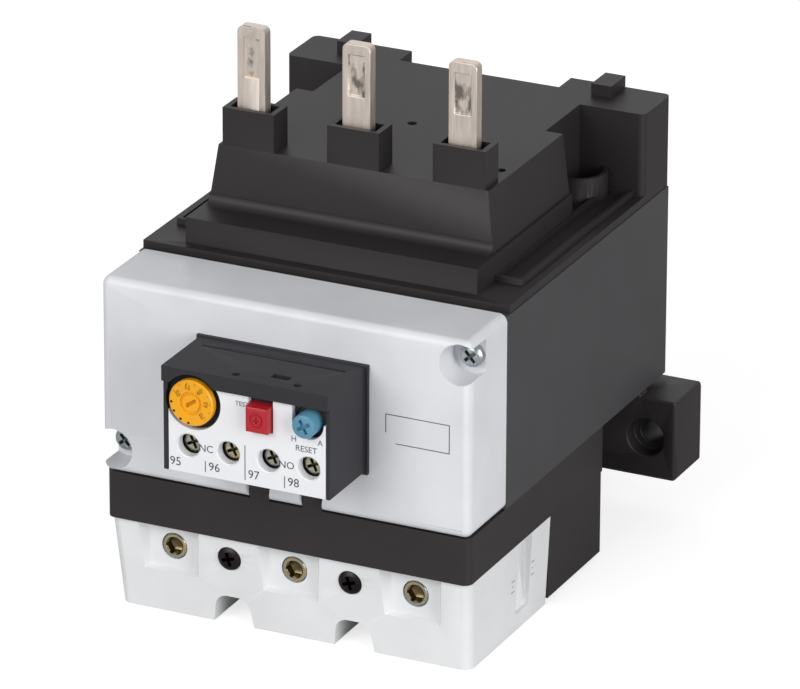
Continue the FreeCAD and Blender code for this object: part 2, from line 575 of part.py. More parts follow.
def make_label_plate():
    plate = doc.addObject("PartDesign::Body", "LabelPlate")
    top = MODULE_TOP + " - hood_height"
    front = "0 - module_reach"
    pad(plate, "LabelBlank", "xz", front, LABEL_BACK,
        rect("0 - label_left", "label_right", MODULE_FLOOR, top))
    reset = ("reset_across", MODULE_FLOOR + " + reset_rise")
    pocket(plate, "DialCut", "xz", front, LABEL_BACK,
           ("0 - dial_across", MODULE_FLOOR + " + dial_rise", "dial_radius + dial_gap"))
    pocket(plate, "DialNotch", "xz", front, LABEL_BACK,
           rect("0 - label_left - 1", "0 - dial_across", MODULE_FLOOR + " + dial_rise",
                top + " + 1"))
    pocket(plate, "TestCut", "xz", front, LABEL_BACK,
           rect("test_across - test_width / 2 - 0.3", "test_across + test_width / 2 + 0.3",
                MODULE_FLOOR + " + test_rise - test_tall / 2 - 0.3", top + " + 1"))
    wide = "reset_radius + 1"
    pocket(plate, "ResetCut", "xz", front, LABEL_BACK, reset + (wide,))
    pocket(plate, "ResetNotch", "xz", front, LABEL_BACK,
           rect("reset_across - (%s)" % wide, "label_right + 1", reset[1], top + " + 1"))
    for name, k in AUX:
        pocket(plate, "LabelHole_" + name, "xz", front, LABEL_BACK,
               ("aux_shift + %g * aux_pitch" % k, AUX_LEVEL, "aux_hole"))
    piece("label_plate", plate)


def make_dial():
    across = ("0 - dial_across", MODULE_FLOOR + " + dial_rise")
    front = "(0 - module_reach - dial_proud)"
    back = front + " + dial_thick"
    disc = rod("DialDisc", "y", "dial_radius", (front, back), across)
    shaft = rod("DialShaft", "y", "shaft_radius", (back + " - 0.5", "0 - seat_depth"), across)
    collar = rod("DialCollar", "y", "shaft_radius + 1",
                 (FACE_BACK + " + fit_gap", FACE_BACK + " + fit_gap + 1"), across)
    cam = rod("DialCam", "y", "cam_radius", ("0 - cam_depth - cam_thick", "0 - cam_depth"),
              (across[0] + " + cam_throw", across[1]))
    slots = [block("DialSlot", (across[0] + " - 3.4", across[0] + " + 3.4"),
                   (front, front + " + 1.2"), (across[1] + " - 0.6", across[1] + " + 0.6")),
             block("DialCross", (across[0] + " - 0.6", across[0] + " + 0.6"),
                   (front, front + " + 1.2"), (across[1] + " - 3.4", across[1] + " + 3.4"))]
    piece("current_dial", cut("Dial", fuse("DialWhole", disc, shaft, collar, cam), *slots))


def make_spring(label, across, up):
    """A coil seated on the spring seat and reaching forward inside its button."""
    coil = doc.addObject("Part::Helix", label + "_path")
    bind(coil, "Pitch", "spring_pitch")
    bind(coil, "Height", "spring_length - 2 * spring_wire")
    bind(coil, "Radius", "spring_radius")
    wire = doc.addObject("Part::Circle", label + "_wire")
    bind(wire, "Radius", "spring_wire")
    wire.Placement = Placement(Vector(), Rotation(Vector(1, 0, 0), 90))
    bind(wire, "Placement.Base.x", "spring_radius")
    sweep = doc.addObject("Part::Sweep", label + "_sweep")
    sweep.Sections = [wire]
    sweep.Spine = (coil, ["Edge%d" % (i + 1) for i in range(helix_edges(coil))])
    sweep.Solid = True
    sweep.Frenet = True
    sweep.Placement = Placement(Vector(), Rotation(Vector(1, 0, 0), 90))
    bind(sweep, "Placement.Base.x", across)
    bind(sweep, "Placement.Base.y", "0 - seat_depth - spring_wire")
    bind(sweep, "Placement.Base.z", up)
    piece(label, group(label + "_group", sweep))


def helix_edges(coil):
    doc.recompute()
    return len(coil.Shape.Edges)


def make_buttons():
    test = ("test_across", MODULE_FLOOR + " + test_rise")
    reset = ("reset_across", MODULE_FLOOR + " + reset_rise")
    front = "(0 - module_reach - test_proud)"
    body = block("TestBody", (test[0] + " - test_width / 2", test[0] + " + test_width / 2"),
                 (front, front + " + button_length"),
                 (test[1] + " - test_tall / 2", test[1] + " + test_tall / 2"))
    bore = rod("TestBore_tool", "y", "spring_bore",
               ("0 - seat_depth - spring_length - test_travel - fit_gap",
                front + " + button_length"), test)
    piece("test_button", cut("TestButton", body, bore))
    front = "(0 - module_reach - reset_proud)"
    body = rod("ResetBody", "y", "reset_radius", (front, front + " + button_length"), reset)
    bore = rod("ResetBore_tool", "y", "spring_bore",
               ("0 - seat_depth - spring_length - reset_travel - fit_gap",
                front + " + button_length"), reset)
    slot = block("ResetSlot", (reset[0] + " - 2.4", reset[0] + " + 2.4"),
                 (front, front + " + 0.9"), (reset[1] + " - 0.5", reset[1] + " + 0.5"))
    piece("reset_button", cut("ResetButton", body, bore, slot))
    start = LABEL_BACK + " + sleeve_sink"
    piece("reset_sleeve", ring("ResetSleeve", "y", "reset_radius + sleeve_wall + running_gap",
                               "reset_radius + running_gap", (start, start + " + sleeve_length"),
                               reset))
    make_spring("test_spring", *test)
    make_spring("reset_spring", *reset)


def make_aux(name, k):
    place = "(aux_shift + %g * aux_pitch)" % k
    across = (place, AUX_LEVEL)
    head = "(aux_head_sink - module_reach)"
    under = "(aux_head_sink - module_reach + aux_head_height)"
    piece("aux_screw_" + name,
          bolt("AuxScrew_" + name, "y", across, "aux_head_radius", (head, under),
               "aux_bolt_radius", (under, under + " + aux_bolt_length"), "low"))
    room = "(aux_pitch / 2 - divider_half)"
    start = under + " + clamp_gap"
    saddle = block("Saddle_" + name,
                   ("%s - %s + fit_gap" % (place, room), "%s + %s - fit_gap" % (place, room)),
                   (start, start + " + clamp_thick"),
                   (AUX_LEVEL + " - clamp_low", AUX_LEVEL + " + clamp_low"))
    hole = rod("SaddleHole_" + name, "y", "aux_bolt_radius + running_gap",
               (start, start + " + clamp_thick"), across)
    piece("aux_clamp_" + name, cut("AuxClamp_" + name, saddle, hole))
    face = block("PlateFace_" + name, ("%s - %s" % (place, room), "%s + %s" % (place, room)),
                 (PLATE_FRONT, PLATE_FRONT + " + plate_thick"),
                 (AUX_LEVEL + " - clamp_low",
                  MODULE_FLOOR + " + tail_low + tail_thick"))
    tail = block("Tail_" + name, (place + " - tail_half", place + " + tail_half"),
                 (PLATE_FRONT, "tab_depth + tail_thick"),
                 (MODULE_FLOOR + " + tail_low", MODULE_FLOOR + " + tail_low + tail_thick"))
    tab = block("Tab_" + name, (place + " - tail_half", place + " + tail_half"),
                ("tab_depth", "tab_depth + tail_thick"),
                (MODULE_FLOOR + " + tail_low", MODULE_FLOOR + " + tab_high"))
    hole = rod("PlateHole_" + name, "y", "aux_bolt_radius + running_gap",
               (PLATE_FRONT, PLATE_FRONT + " + plate_thick"), across)
    piece("aux_plate_" + name,
          cut("AuxPlate_" + name, fuse("AuxPlateWhole_" + name, face, tail, tab), hole))


def make_contacts():
    low = MODULE_FLOOR + " + bridge_low"
    height = (low, low + " + bridge_height")
    closed = "(tab_depth + tail_thick + running_gap)"
    opened = "(tab_depth - contact_gap - bridge_thick)"
    for label, sign, start in (("closed_bridge", -1, closed), ("open_bridge", 1, opened)):
        middle = "(aux_shift + %d * aux_pitch)" % sign
        reach = "(aux_pitch / 2 + bridge_reach)"
        bar = block(label + "_bar", ("%s - %s" % (middle, reach), "%s + %s" % (middle, reach)),
                    (start, start + " + bridge_thick"), height)
        piece(label, group(label + "_group", bar))
    low = MODULE_FLOOR + " + carrier_low"
    height = (low, low + " + carrier_height")
    back = ("carrier_depth", "carrier_depth + carrier_thick")
    beam = block("CarrierBeam", ("aux_shift - 1.5 * aux_pitch - tail_half",
                                 "aux_shift + 1.5 * aux_pitch + tail_half"), back, height)
    middle = "(aux_shift - aux_pitch)"
    post = block("CarrierPost", (middle + " - 1.4", middle + " + 1.4"),
                 (closed + " + bridge_thick", "carrier_depth + 1"), height)
    middle = "(aux_shift + aux_pitch)"
    arm = block("CarrierArm", (middle + " - 1.4", middle + " + 1.4"),
                (opened + " + bridge_thick", "carrier_depth + 1"), height)
    piece("contact_carrier", fuse("Carrier", beam, post, arm))


# ---------------------------------------------------------------- Lower section

def make_terminal_housing():
    block_body = doc.addObject("PartDesign::Body", "TerminalHousing")
    half = "section_width / 2"
    band = "tc_height + 0.1"
    top = "terminal_height - shadow_gap"
    pad(block_body, "Band", "xy", band, top, centred(half, "section_front", "section_depth"))
    edge = size("section_width") / 2
    dress(block_body, "BandRound", "Fillet", "section_round",
          any_of(line_at("z", x=edge, y=size("section_front")),
                 line_at("z", x=edge, y=size("section_depth"))))
    pad(block_body, "BandSeat", "xy", band + " + 2", "terminal_height",
        centred(half + " - 4", "cover_depth + 2", "section_depth - 2"))
    pad(block_body, "LowerBlock", "xy", "tc_floor + fit_gap", band + " + 1",
        centred("block_half", "bay_front", "tc_depth + fit_gap + 1"))
    pad(block_body, "LowerRear", "xy", "section_lift", band + " + 1",
        centred("rear_block_half", "tc_depth + fit_gap", "section_depth"))
    for side, k in POLES:
        pole = offset(k, "pole_pitch")
        riser = offset(k, "blade_pitch")
        pocket(block_body, "Bay_" + side, "xy", "section_lift", "bay_height",
               rect(pole + " - bay_half", pole + " + bay_half", "bay_front", "bay_depth"))
        pocket(block_body, "BarDrop_" + side, "xy", "bay_height", "terminal_height",
               rect(pole + " - bar_half - fit_gap", pole + " + bar_half + fit_gap",
                    "bar_front - fit_gap", BAR_BACK + " + fit_gap"))
        left = (pole if k <= 0 else riser) + (" - bar_half" if k <= 0 else " - riser_half")
        right = (pole if k >= 0 else riser) + (" + bar_half" if k >= 0 else " + riser_half")
        pocket(block_body, "BarChannel_" + side, "xy", "bar_step", "terminal_height",
               rect(left + " - fit_gap", right + " + fit_gap", "bar_front - fit_gap",
                    RISER_BACK + " + fit_gap"))
    trough = "arch_half + arch_wall + fit_gap"
    for side, k in SIDES:
        middle = offset(k, "pole_pitch / 2")
        pocket(block_body, "TroughRoom_" + side, "xy", "section_lift",
               "arch_height + arch_wall + fit_gap",
               rect("%s - (%s)" % (middle, trough), "%s + %s" % (middle, trough), "bay_front",
                    "tc_depth + fit_gap"))
        pocket(block_body, "CoverScrewBore_" + side, "xz", "bay_front",
               "bay_front + small_bolt_length", (middle, "screw_height + 0.8",
                                                 "small_bolt_radius + running_gap"))
        tab = offset(k, "notch_pitch / 2")
        pad(block_body, "Tab_" + side, "xy", top + " - 1", "terminal_height + notch_height - 0.3",
            rect(tab + " - notch_width / 2 + 0.7", tab + " + notch_width / 2 - 0.7",
                 "section_front", "cover_wall + 1.6"))
        spot = offset(k, "long_bolt_pitch / 2")
        pocket(block_body, "SectionSink_" + side, "xy", "section_lift",
               "section_lift + long_sink", (spot, "long_bolt_depth", "foot_head_radius + 0.2"))
        pocket(block_body, "SectionHole_" + side, "xy", "section_lift", "terminal_height",
               (spot, "long_bolt_depth", "foot_bolt_radius + 0.15"))
    piece("terminal_housing", block_body)


def make_terminal_cover():
    cover = doc.addObject("PartDesign::Body", "TerminalCover")
    pad(cover, "CoverBody", "xz", "tc_top_front", "tc_depth",
        [("0 - tc_foot_width / 2", "0"), ("tc_foot_width / 2", "0"),
         ("tc_width / 2", "tc_height"), ("0 - tc_width / 2", "tc_height")])
    pocket(cover, "CoverLean", "yz", "0 - section_width / 2", "section_width / 2",
           [("tc_top_front - 2", "0"), ("tc_foot_front", "0"), ("tc_top_front", "tc_height"),
            ("tc_top_front - 2", "tc_height")])
    foot, head = size("tc_foot_width") / 2, size("tc_width") / 2

    def leaning(edge):
        box = edge.BoundBox
        return (box.ZLength > 10 and abs(abs(box.Center.x) - (foot + head) / 2) < 0.1
                and box.Center.y < 6)
    dress(cover, "CornerRound", "Fillet", "tc_round", leaning)
    pocket(cover, "CoverRoom", "xy", "tc_floor", "tc_height",
           centred("tc_foot_width / 2 - tc_wall", "tc_inside", "tc_depth"))
    arch = "arch_half + arch_wall"
    for side, k in SIDES:
        middle = offset(k, "pole_pitch / 2")
        pad(cover, "Trough_" + side, "xz", "tc_foot_front + 1", "tc_foot_front + arch_length",
            rect("%s - (%s)" % (middle, arch), "%s + %s" % (middle, arch), "0",
                 "arch_height + arch_wall"))
        pocket(cover, "Arch_" + side, "xz", "0", "tc_foot_front + arch_length",
               [(middle + " - arch_half", "0"), (middle + " + arch_half", "0"),
                (middle + " + arch_head", "arch_height"),
                (middle + " - arch_head", "arch_height")])
        pad(cover, "ScrewPad_" + side, "xz", "tc_inside - 0.5", "bay_front",
            (middle, "screw_height + 0.8", "small_head_radius + 0.6"))
        pocket(cover, "ScrewSink_" + side, "xz", "0", "sink_floor",
               (middle, "screw_height + 0.8", "small_head_radius + fit_gap"))
        pocket(cover, "ScrewHole_" + side, "xz", "0", "bay_front",
               (middle, "screw_height + 0.8", "small_bolt_radius + 0.15"))
    pitch, reach = size("pole_pitch") / 2, size("arch_head")
    dress(cover, "ArchRound", "Fillet", "arch_round",
          any_of(line_at("y", x=pitch - reach, z=size("arch_height")),
                 line_at("y", x=pitch + reach, z=size("arch_height"))))
    for side, k in POLES:
        pole = offset(k, "pole_pitch")
        spread = "square_floor * tan(square_draft)"
        square = pocket(cover, "Square_" + side, "xz", "0", "square_floor",
                        rect("%s - square_half - %s" % (pole, spread),
                             "%s + square_half + %s" % (pole, spread),
                             "square_low - " + spread, "tc_height + 4"))
        bind(square, "TaperAngle", "0 - square_draft")
        pocket(cover, "MainHole_" + side, "xz", "0", "tc_inside",
               (pole, "screw_height", "hole_radius"))
        pocket(cover, "CableEntry_" + side, "xy", "0", "tc_floor",
               rect(pole + " - cable_half", pole + " + cable_half", "cable_front",
                    "cable_back"))
    slot = rect("gauge_front", "gauge_front + gauge_width", "gauge_low",
                "gauge_low + gauge_height")
    bar = rect("gauge_front + 1.2", "gauge_front + gauge_width - 1.2", "gauge_low + 1.3",
               "gauge_low + gauge_height - 1.3")
    deep, near = "tc_foot_width / 2 - 0.8", "tc_foot_width / 2 - 0.3"
    for side, k in SIDES:
        low, high = (deep, "tc_width / 2 + 1") if k > 0 else ("0 - tc_width / 2 - 1",
                                                            "0 - (%s)" % deep)
        pocket(cover, "GaugeSlot_" + side, "yz", low, high, slot)
        low, high = ((deep + " - 0.2", near) if k > 0 else ("0 - (%s)" % near,
                                                          "0 - (%s - 0.2)" % deep))
        pad(cover, "GaugeBar_" + side, "yz", low, high, bar)
    piece("terminal_cover", cover)


def make_terminal_cover_screws():
    bolts = []
    for side, k in SIDES:
        across = (offset(k, "pole_pitch / 2"), "screw_height + 0.8")
        head = ("sink_floor - small_head_height", "sink_floor")
        bolts.append(bolt("TerminalCoverBolt_" + side, "y", across, "small_head_radius", head,
                          "small_bolt_radius",
                          ("sink_floor", "bay_front + small_bolt_length - 0.5"), "low"))
    piece("terminal_cover_screws", group("TerminalCoverBolts", *bolts))


def make_pole(side, k):
    pole = "(%s)" % offset(k, "pole_pitch")
    riser = "(%s)" % offset(k, "blade_pitch")
    across = (pole, "screw_height")
    neck = "(main_head_front + main_head_length)"
    screw = fuse("MainScrewWhole_" + side,
                 rod("MainHead_" + side, "y", "main_head_radius", ("main_head_front", neck),
                     across),
                 rod("MainThread_" + side, "y", "main_bolt_radius",
                     (neck, "bar_front - seat_gap"), across))
    socket = hexagon("MainSocket_" + side, "socket_radius",
                     ("main_head_front", "main_head_front + socket_depth"), across)
    piece("terminal_screw_" + side, cut("MainScrew_" + side, screw, socket))
    depth = ("cage_front", "cage_front + cage_depth")
    span = ("screw_height - cage_height / 2", "screw_height + cage_height / 2")
    frame = block("CageFrame_" + side, (pole + " - cage_half", pole + " + cage_half"), depth, span)
    room = block("CageRoom_" + side,
                 (pole + " - cage_half + cage_wall", pole + " + cage_half - cage_wall"),
                 ("cage_front + cage_wall", "cage_front + cage_depth - cage_wall"), span)
    hole = rod("CageHole_" + side, "y", "main_bolt_radius + running_gap",
               ("cage_front", "cage_front + cage_wall"), across)
    piece("terminal_cage_" + side, cut("Cage_" + side, frame, room, hole))
    left = (pole + " - bar_half") if k <= 0 else (riser + " - riser_half")
    right = (pole + " + bar_half") if k >= 0 else (riser + " + riser_half")
    step = ("bar_step", "bar_step + bar_thick")
    leg = block("BarLeg_" + side, (pole + " - bar_half", pole + " + bar_half"),
                ("bar_front", BAR_BACK), ("bar_low", "bar_step + bar_thick"))
    shelf = block("BarShelf_" + side, (left, right), ("bar_front", RISER_BACK), step)
    rise = block("BarRiser_" + side, (riser + " - riser_half", riser + " + riser_half"),
                 (RISER_FRONT, RISER_BACK), ("bar_step", "riser_top"))
    rivet = (riser, "rivet_level")
    hole = rod("BarHole_" + side, "y", "rivet_radius + running_gap", (RISER_FRONT, RISER_BACK),
               rivet)
    piece("heater_bar_" + side, cut("HeaterBar_" + side, fuse("Bar_" + side, leg, shelf, rise),
                                    hole))
    flag = block("BimetalTab_" + side, (riser + " - tab_half", riser + " + tab_half"),
                 (RISER_BACK, RISER_BACK + " + tab_thick"), ("tab_low", "tab_top"))
    strip = block("BimetalStrip_" + side,
                  (riser + " - strip_thick / 2", riser + " + strip_thick / 2"),
                  (RISER_BACK + " + tab_thick / 2", RISER_BACK + " + tab_thick + strip_width"),
                  ("strip_low", "strip_top"))
    hole = rod("TabHole_" + side, "y", "rivet_radius + running_gap",
               (RISER_BACK, RISER_BACK + " + tab_thick"), rivet)
    piece("bimetal_" + side, cut("Bimetal_" + side, fuse("Strip_" + side, flag, strip), hole))
    make_blade(side, riser)
    back = RISER_BACK + " + tab_thick"
    return fuse("Rivet_" + side,
                rod("RivetStem_" + side, "y", "rivet_radius", ("blade_front", back), rivet),
                rod("RivetFront_" + side, "y", "rivet_head",
                    ("blade_front - rivet_head_height", "blade_front"), rivet),
                rod("RivetBack_" + side, "y", "rivet_head",
                    (back, back + " + rivet_head_height"), rivet))


def make_blade(side, riser):
    blade = doc.addObject("PartDesign::Body", "Blade_" + side)
    pad(blade, "BladeBlank_" + side, "xz", "blade_front", RISER_FRONT,
        centred("blade_half", "blade_low", "blade_top"))
    dress(blade, "BladeRound_" + side, "Fillet", "blade_round",
          line_at("y", x=size("blade_half"), z=size("blade_top")))
    pocket(blade, "Stamp_" + side, "xz", "blade_front", "blade_front + stamp_depth",
           centred("stamp_half", "blade_top - stamp_drop - stamp_height",
                   "blade_top - stamp_drop"))
    pocket(blade, "BladeHole_" + side, "xz", "blade_front", RISER_FRONT,
           ("0", "rivet_level", "rivet_radius + running_gap"))
    piece("contact_blade_" + side, blade)
    bind(blade, "Placement.Base.x", riser)


# ---------------------------------------------------------------- Trip mechanism

def make_trip():
    height = ("slide_height", "slide_height + slide_thick")
    bars = [block("SlideBar", ("0 - slide_left", "slide_right"),
                  ("slide_back", "slide_back + slide_thick"), height)]
    for side, k in POLES:
        start = offset(k, "blade_pitch", "strip_thick / 2 + finger_gap")
        bars.append(block("Finger_" + side, (start, start + " + finger_width"),
                          (RISER_BACK + " + tab_thick + 2", "slide_back + 1"), height))
    piece("trip_slide", fuse("TripSlide", *bars))
    pivot = ("lever_across", "lever_depth")
    floor = "(post_top + fit_gap)"
    level = "(arm_low + arm_thick)"
    hub = rod("LeverHub", "z", "lever_hub", (floor, level), pivot)
    side = ("slide_right + lever_gap", "slide_right + lever_gap + lever_arm")
    fork = block("LeverFork", side, ("lever_depth", "slide_back + slide_thick + 0.6"), height)
    across = block("LeverArm", ("reach_across - lever_arm / 2", "lever_across"),
                   ("lever_depth - 1", "lever_depth + lever_arm - 1"), ("arm_low", level))
    reach = block("LeverReach", ("reach_across - lever_arm / 2", "reach_across + lever_arm / 2"),
                  ("reach_depth", "lever_depth"), ("arm_low", level))
    bore = rod("LeverBore", "z", "pin_radius + running_gap", (floor, level), pivot)
    piece("compensation_lever", cut("Lever", fuse("LeverWhole", hub, fork, across, reach), bore))
    piece("lever_pin", group("LeverPin", rod("PinRod", "z", "pin_radius", ("pin_low", level),
                                             pivot)))


# ---------------------------------------------------------------- Adapter and foot

def adapter_outline(half, front):
    """The block's plan: a wide front, a narrow waist beside the pockets and two rear lugs."""
    right = [(half, front), (half, "pocket_front"), ("pocket_half", "pocket_front"),
             ("pocket_half", "pocket_back"), ("flange_width / 2", "pocket_back"),
             ("flange_width / 2", "body_depth"), ("rear_half", "body_depth"),
             ("rear_half", "body_depth - rear_notch")]
    return right + [("0 - (%s)" % x, y) for x, y in reversed(right)]


def make_top_adapter():
    adapter = doc.addObject("PartDesign::Body", "TopAdapter")
    pad(adapter, "Flange", "xy", BODY_TOP, FLANGE_TOP,
        centred("flange_width / 2", "flange_front", "body_depth"))
    ledge = "(terminal_height + body_height + ledge_height)"
    for side, k in SIDES:
        cup = (offset(k, "cup_across"), "cup_depth")
        pad(adapter, "Cup_" + side, "xy", FLANGE_TOP + " - 0.5", FLANGE_TOP + " + cup_height",
            cup + ("cup_radius",), cup + ("cup_radius - 1",))
        edges = [offset(k, "rim_inner"), offset(k, "rim_outer")]
        inner = [offset(k, "(rim_inner + rim_wall)"), offset(k, "(rim_outer - rim_wall)")]
        if k < 0:
            edges.reverse()
            inner.reverse()
        pad(adapter, "Tray_" + side, "xy", FLANGE_TOP + " - 0.5", FLANGE_TOP + " + rim_height",
            rect(edges[0], edges[1], "rim_front", "pocket_back"),
            rect(inner[0], inner[1], "rim_front + rim_wall", "pocket_back - rim_wall"))
    pad(adapter, "Ledge", "xy", FLANGE_TOP + " - 0.5", ledge,
        adapter_outline("ledge_half", "ledge_front"))
    loft(adapter, "Block", "xy", ledge, DECK, adapter_outline("side_foot", "wall_foot"),
         adapter_outline("side_head", "wall_head"))
    lug = size("flange_width") / 2
    pocket(adapter, "FrontRoom", "xy", BODY_TOP, DECK + " - adapter_wall",
           centred("side_head - adapter_wall", "slot_front", "pocket_front - adapter_wall"))
    pocket(adapter, "RearRoom", "xy", BODY_TOP, DECK + " - adapter_wall",
           centred("pocket_half - adapter_wall", "pocket_front - adapter_wall - 1",
                   "pocket_back - adapter_wall"))
    for side, k in POLES:
        riser = offset(k, "blade_pitch")
        pad(adapter, "Chimney_" + side, "xy", DECK + " - 1", DECK + " + chimney_height",
            rect(riser + " - chimney_half", riser + " + chimney_half", "wall_head",
                 "wall_head + chimney_depth"))
        pocket(adapter, "Slot_" + side, "xy", DECK + " - adapter_wall - 1",
               DECK + " + chimney_height",
               rect(riser + " - slot_half", riser + " + slot_half", "slot_front",
                    "slot_front + slot_depth"))
    for side, k, place in (("left", -1, "hook_left"), ("right", 1, "hook_right")):
        spot = offset(k, place)
        pad(adapter, "Hook_" + side, "xy", DECK + " - 1", DECK + " + hook_height",
            rect(spot + " - hook_half", spot + " + hook_half", "body_depth - hook_depth",
                 "body_depth"))
        pocket(adapter, "DeckHole_" + side, "xy", DECK + " - adapter_wall", DECK,
               (offset(k, "side_hole"), "side_hole_depth", "deck_hole"))
        pocket(adapter, "AdapterHole_" + side, "xy", BODY_TOP, FLANGE_TOP,
               (offset(k, "adapter_bolt_across"), "adapter_bolt_depth",
                "small_bolt_radius + 0.15"))
    pocket(adapter, "MiddleHole", "xy", DECK + " - adapter_wall", DECK,
           ("0", "deck_hole_depth", "deck_hole"))
    dress(adapter, "LugRound", "Fillet", "lug_round",
          any_of(line_at("z", x=lug, y=size("body_depth")),
                 line_at("z", x=lug, y=size("pocket_back"))))
    piece("top_adapter", adapter)


def make_foot():
    foot = doc.addObject("PartDesign::Body", "MountingFoot")
    front = "(body_depth - foot_thick)"
    middle = "(body_depth - foot_thick / 2)"
    pad(foot, "FootPlate", "xz", front, "body_depth",
        centred("foot_width / 2", "foot_low", "foot_high"))
    edge = size("foot_width") / 2
    dress(foot, "FootRound", "Fillet", "foot_round",
          any_of(line_at("z", x=edge, y=size("body_depth")),
                 line_at("z", x=edge, y=size("body_depth") - size("foot_thick")),
                 line_at("y", x=edge, z=size("foot_low")),
                 line_at("y", x=edge, z=size("foot_high"))))
    pad(foot, "FootRib", "xz", front, front + " + foot_rib",
        centred("flange_width / 2", "foot_high - 1", "terminal_height"))
    pad(foot, "FootArm", "xz", "section_depth + arm_gap", front + " + 1",
        centred("arm_half", "foot_low + 2.6", "foot_high"))
    for i, k in enumerate((-1.5, -0.5, 0.5, 1.5)):
        low, high = "%g * rib_pitch - cell_half" % k, "%g * rib_pitch + cell_half" % k
        pocket(foot, "ArmCell_%d" % i, "xy", "foot_low", "foot_high - 3",
               rect(low, high, "section_depth + 4", front + " - 3"))
        pocket(foot, "PlateCell_%d" % i, "xy", "foot_low", "foot_high - 3",
               rect(low, high, front + " + 3.6", "body_depth - 3.6"))
    for side, k in SIDES:
        lug = (offset(k, "lug_pitch / 2"), "lug_rise")
        pocket(foot, "LugSink_" + side, "xz", front, front + " + lug_sink_depth",
               lug + ("lug_sink",))
        pocket(foot, "LugHole_" + side, "xz", front, "body_depth", lug + ("lug_hole",))
        spot = (offset(k, "foot_bolt_pitch / 2"), middle)
        pad(foot, "FootSeat_" + side, "xy", "foot_high - 1", "terminal_height",
            spot + ("boss_radius + 0.6",))
        pocket(foot, "FootSink_" + side, "xy", "foot_low", "foot_low + foot_head_sink",
               spot + ("foot_head_radius + 0.2",))
        pocket(foot, "FootHole_" + side, "xy", "foot_low", "terminal_height",
               spot + ("foot_bolt_radius + 0.15",))
    piece("mounting_foot", foot)


def make_vertical_bolts():
    tip = HOUSING_FLOOR + " + boss_height - 1"
    for label, pitch, depth, seat in (
            ("foot_screws", "foot_bolt_pitch", "(body_depth - foot_thick / 2)",
             "(foot_low + foot_head_sink)"),
            ("section_screws", "long_bolt_pitch", "long_bolt_depth",
             "(section_lift + long_sink)")):
        bolts = [bolt("%s_%s" % (label, side), "z", (offset(k, pitch + " / 2"), depth),
                      "foot_head_radius", (seat + " - foot_head_height", seat),
                      "foot_bolt_radius", (seat, tip), "low") for side, k in SIDES]
        piece(label, group(label + "_group", *bolts))
    bolts = [bolt("AdapterBolt_" + side, "z",
                  (offset(k, "adapter_bolt_across"), "adapter_bolt_depth"),
                  "small_head_radius - 0.2", (FLANGE_TOP, FLANGE_TOP + " + small_head_height"),
                  "small_bolt_radius", (BODY_TOP + " - body_wall - boss_height + 1", FLANGE_TOP),
                  "high") for side, k in SIDES]
    piece("adapter_screws", group("AdapterBolts", *bolts))


# ---------------------------------------------------------------- Build

make_main_housing()
make_front_cover()
make_cover_screws()
make_module_housing()
make_label_plate()
make_dial()
make_buttons()
for aux_name, aux_k in AUX:
    make_aux(aux_name, aux_k)
make_contacts()
make_terminal_housing()
make_terminal_cover()
make_terminal_cover_screws()
piece("bar_rivets", group("BarRivets", *[make_pole(side, k) for side, k in POLES]))
make_trip()
make_top_adapter()
make_foot()
make_vertical_bolts()
doc.recompute()

# ---------------------------------------------------------------- Checks and output

for obj in doc.Objects:
    if "Invalid" in obj.State or "Error" in obj.State:
        raise ValueError("%s did not compute: %s" % (obj.Name, obj.State))
    if obj.isDerivedFrom("PartDesign::Pocket"):
        if obj.Shape.Volume > obj.BaseFeature.Shape.Volume - 1e-4:
            raise ValueError("pocket %s removes nothing" % obj.Name)
    if obj.isDerivedFrom("PartDesign::Feature") and not obj.Shape.isValid():
        raise ValueError("%s has no valid shape" % obj.Name)
os.makedirs("parts", exist_ok=True)
for obj in pieces:
    if obj.Shape.isNull() or not obj.Shape.isValid():
        raise ValueError("%s has no valid shape" % obj.Label)
    obj.Shape.exportStep("parts/%s.step" % obj.Label)
print("%d sub-parts written" % len(pieces))
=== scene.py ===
"""Looks of the thermal overload relay: rounded mouldings, finishes, printing, lamps and camera."""

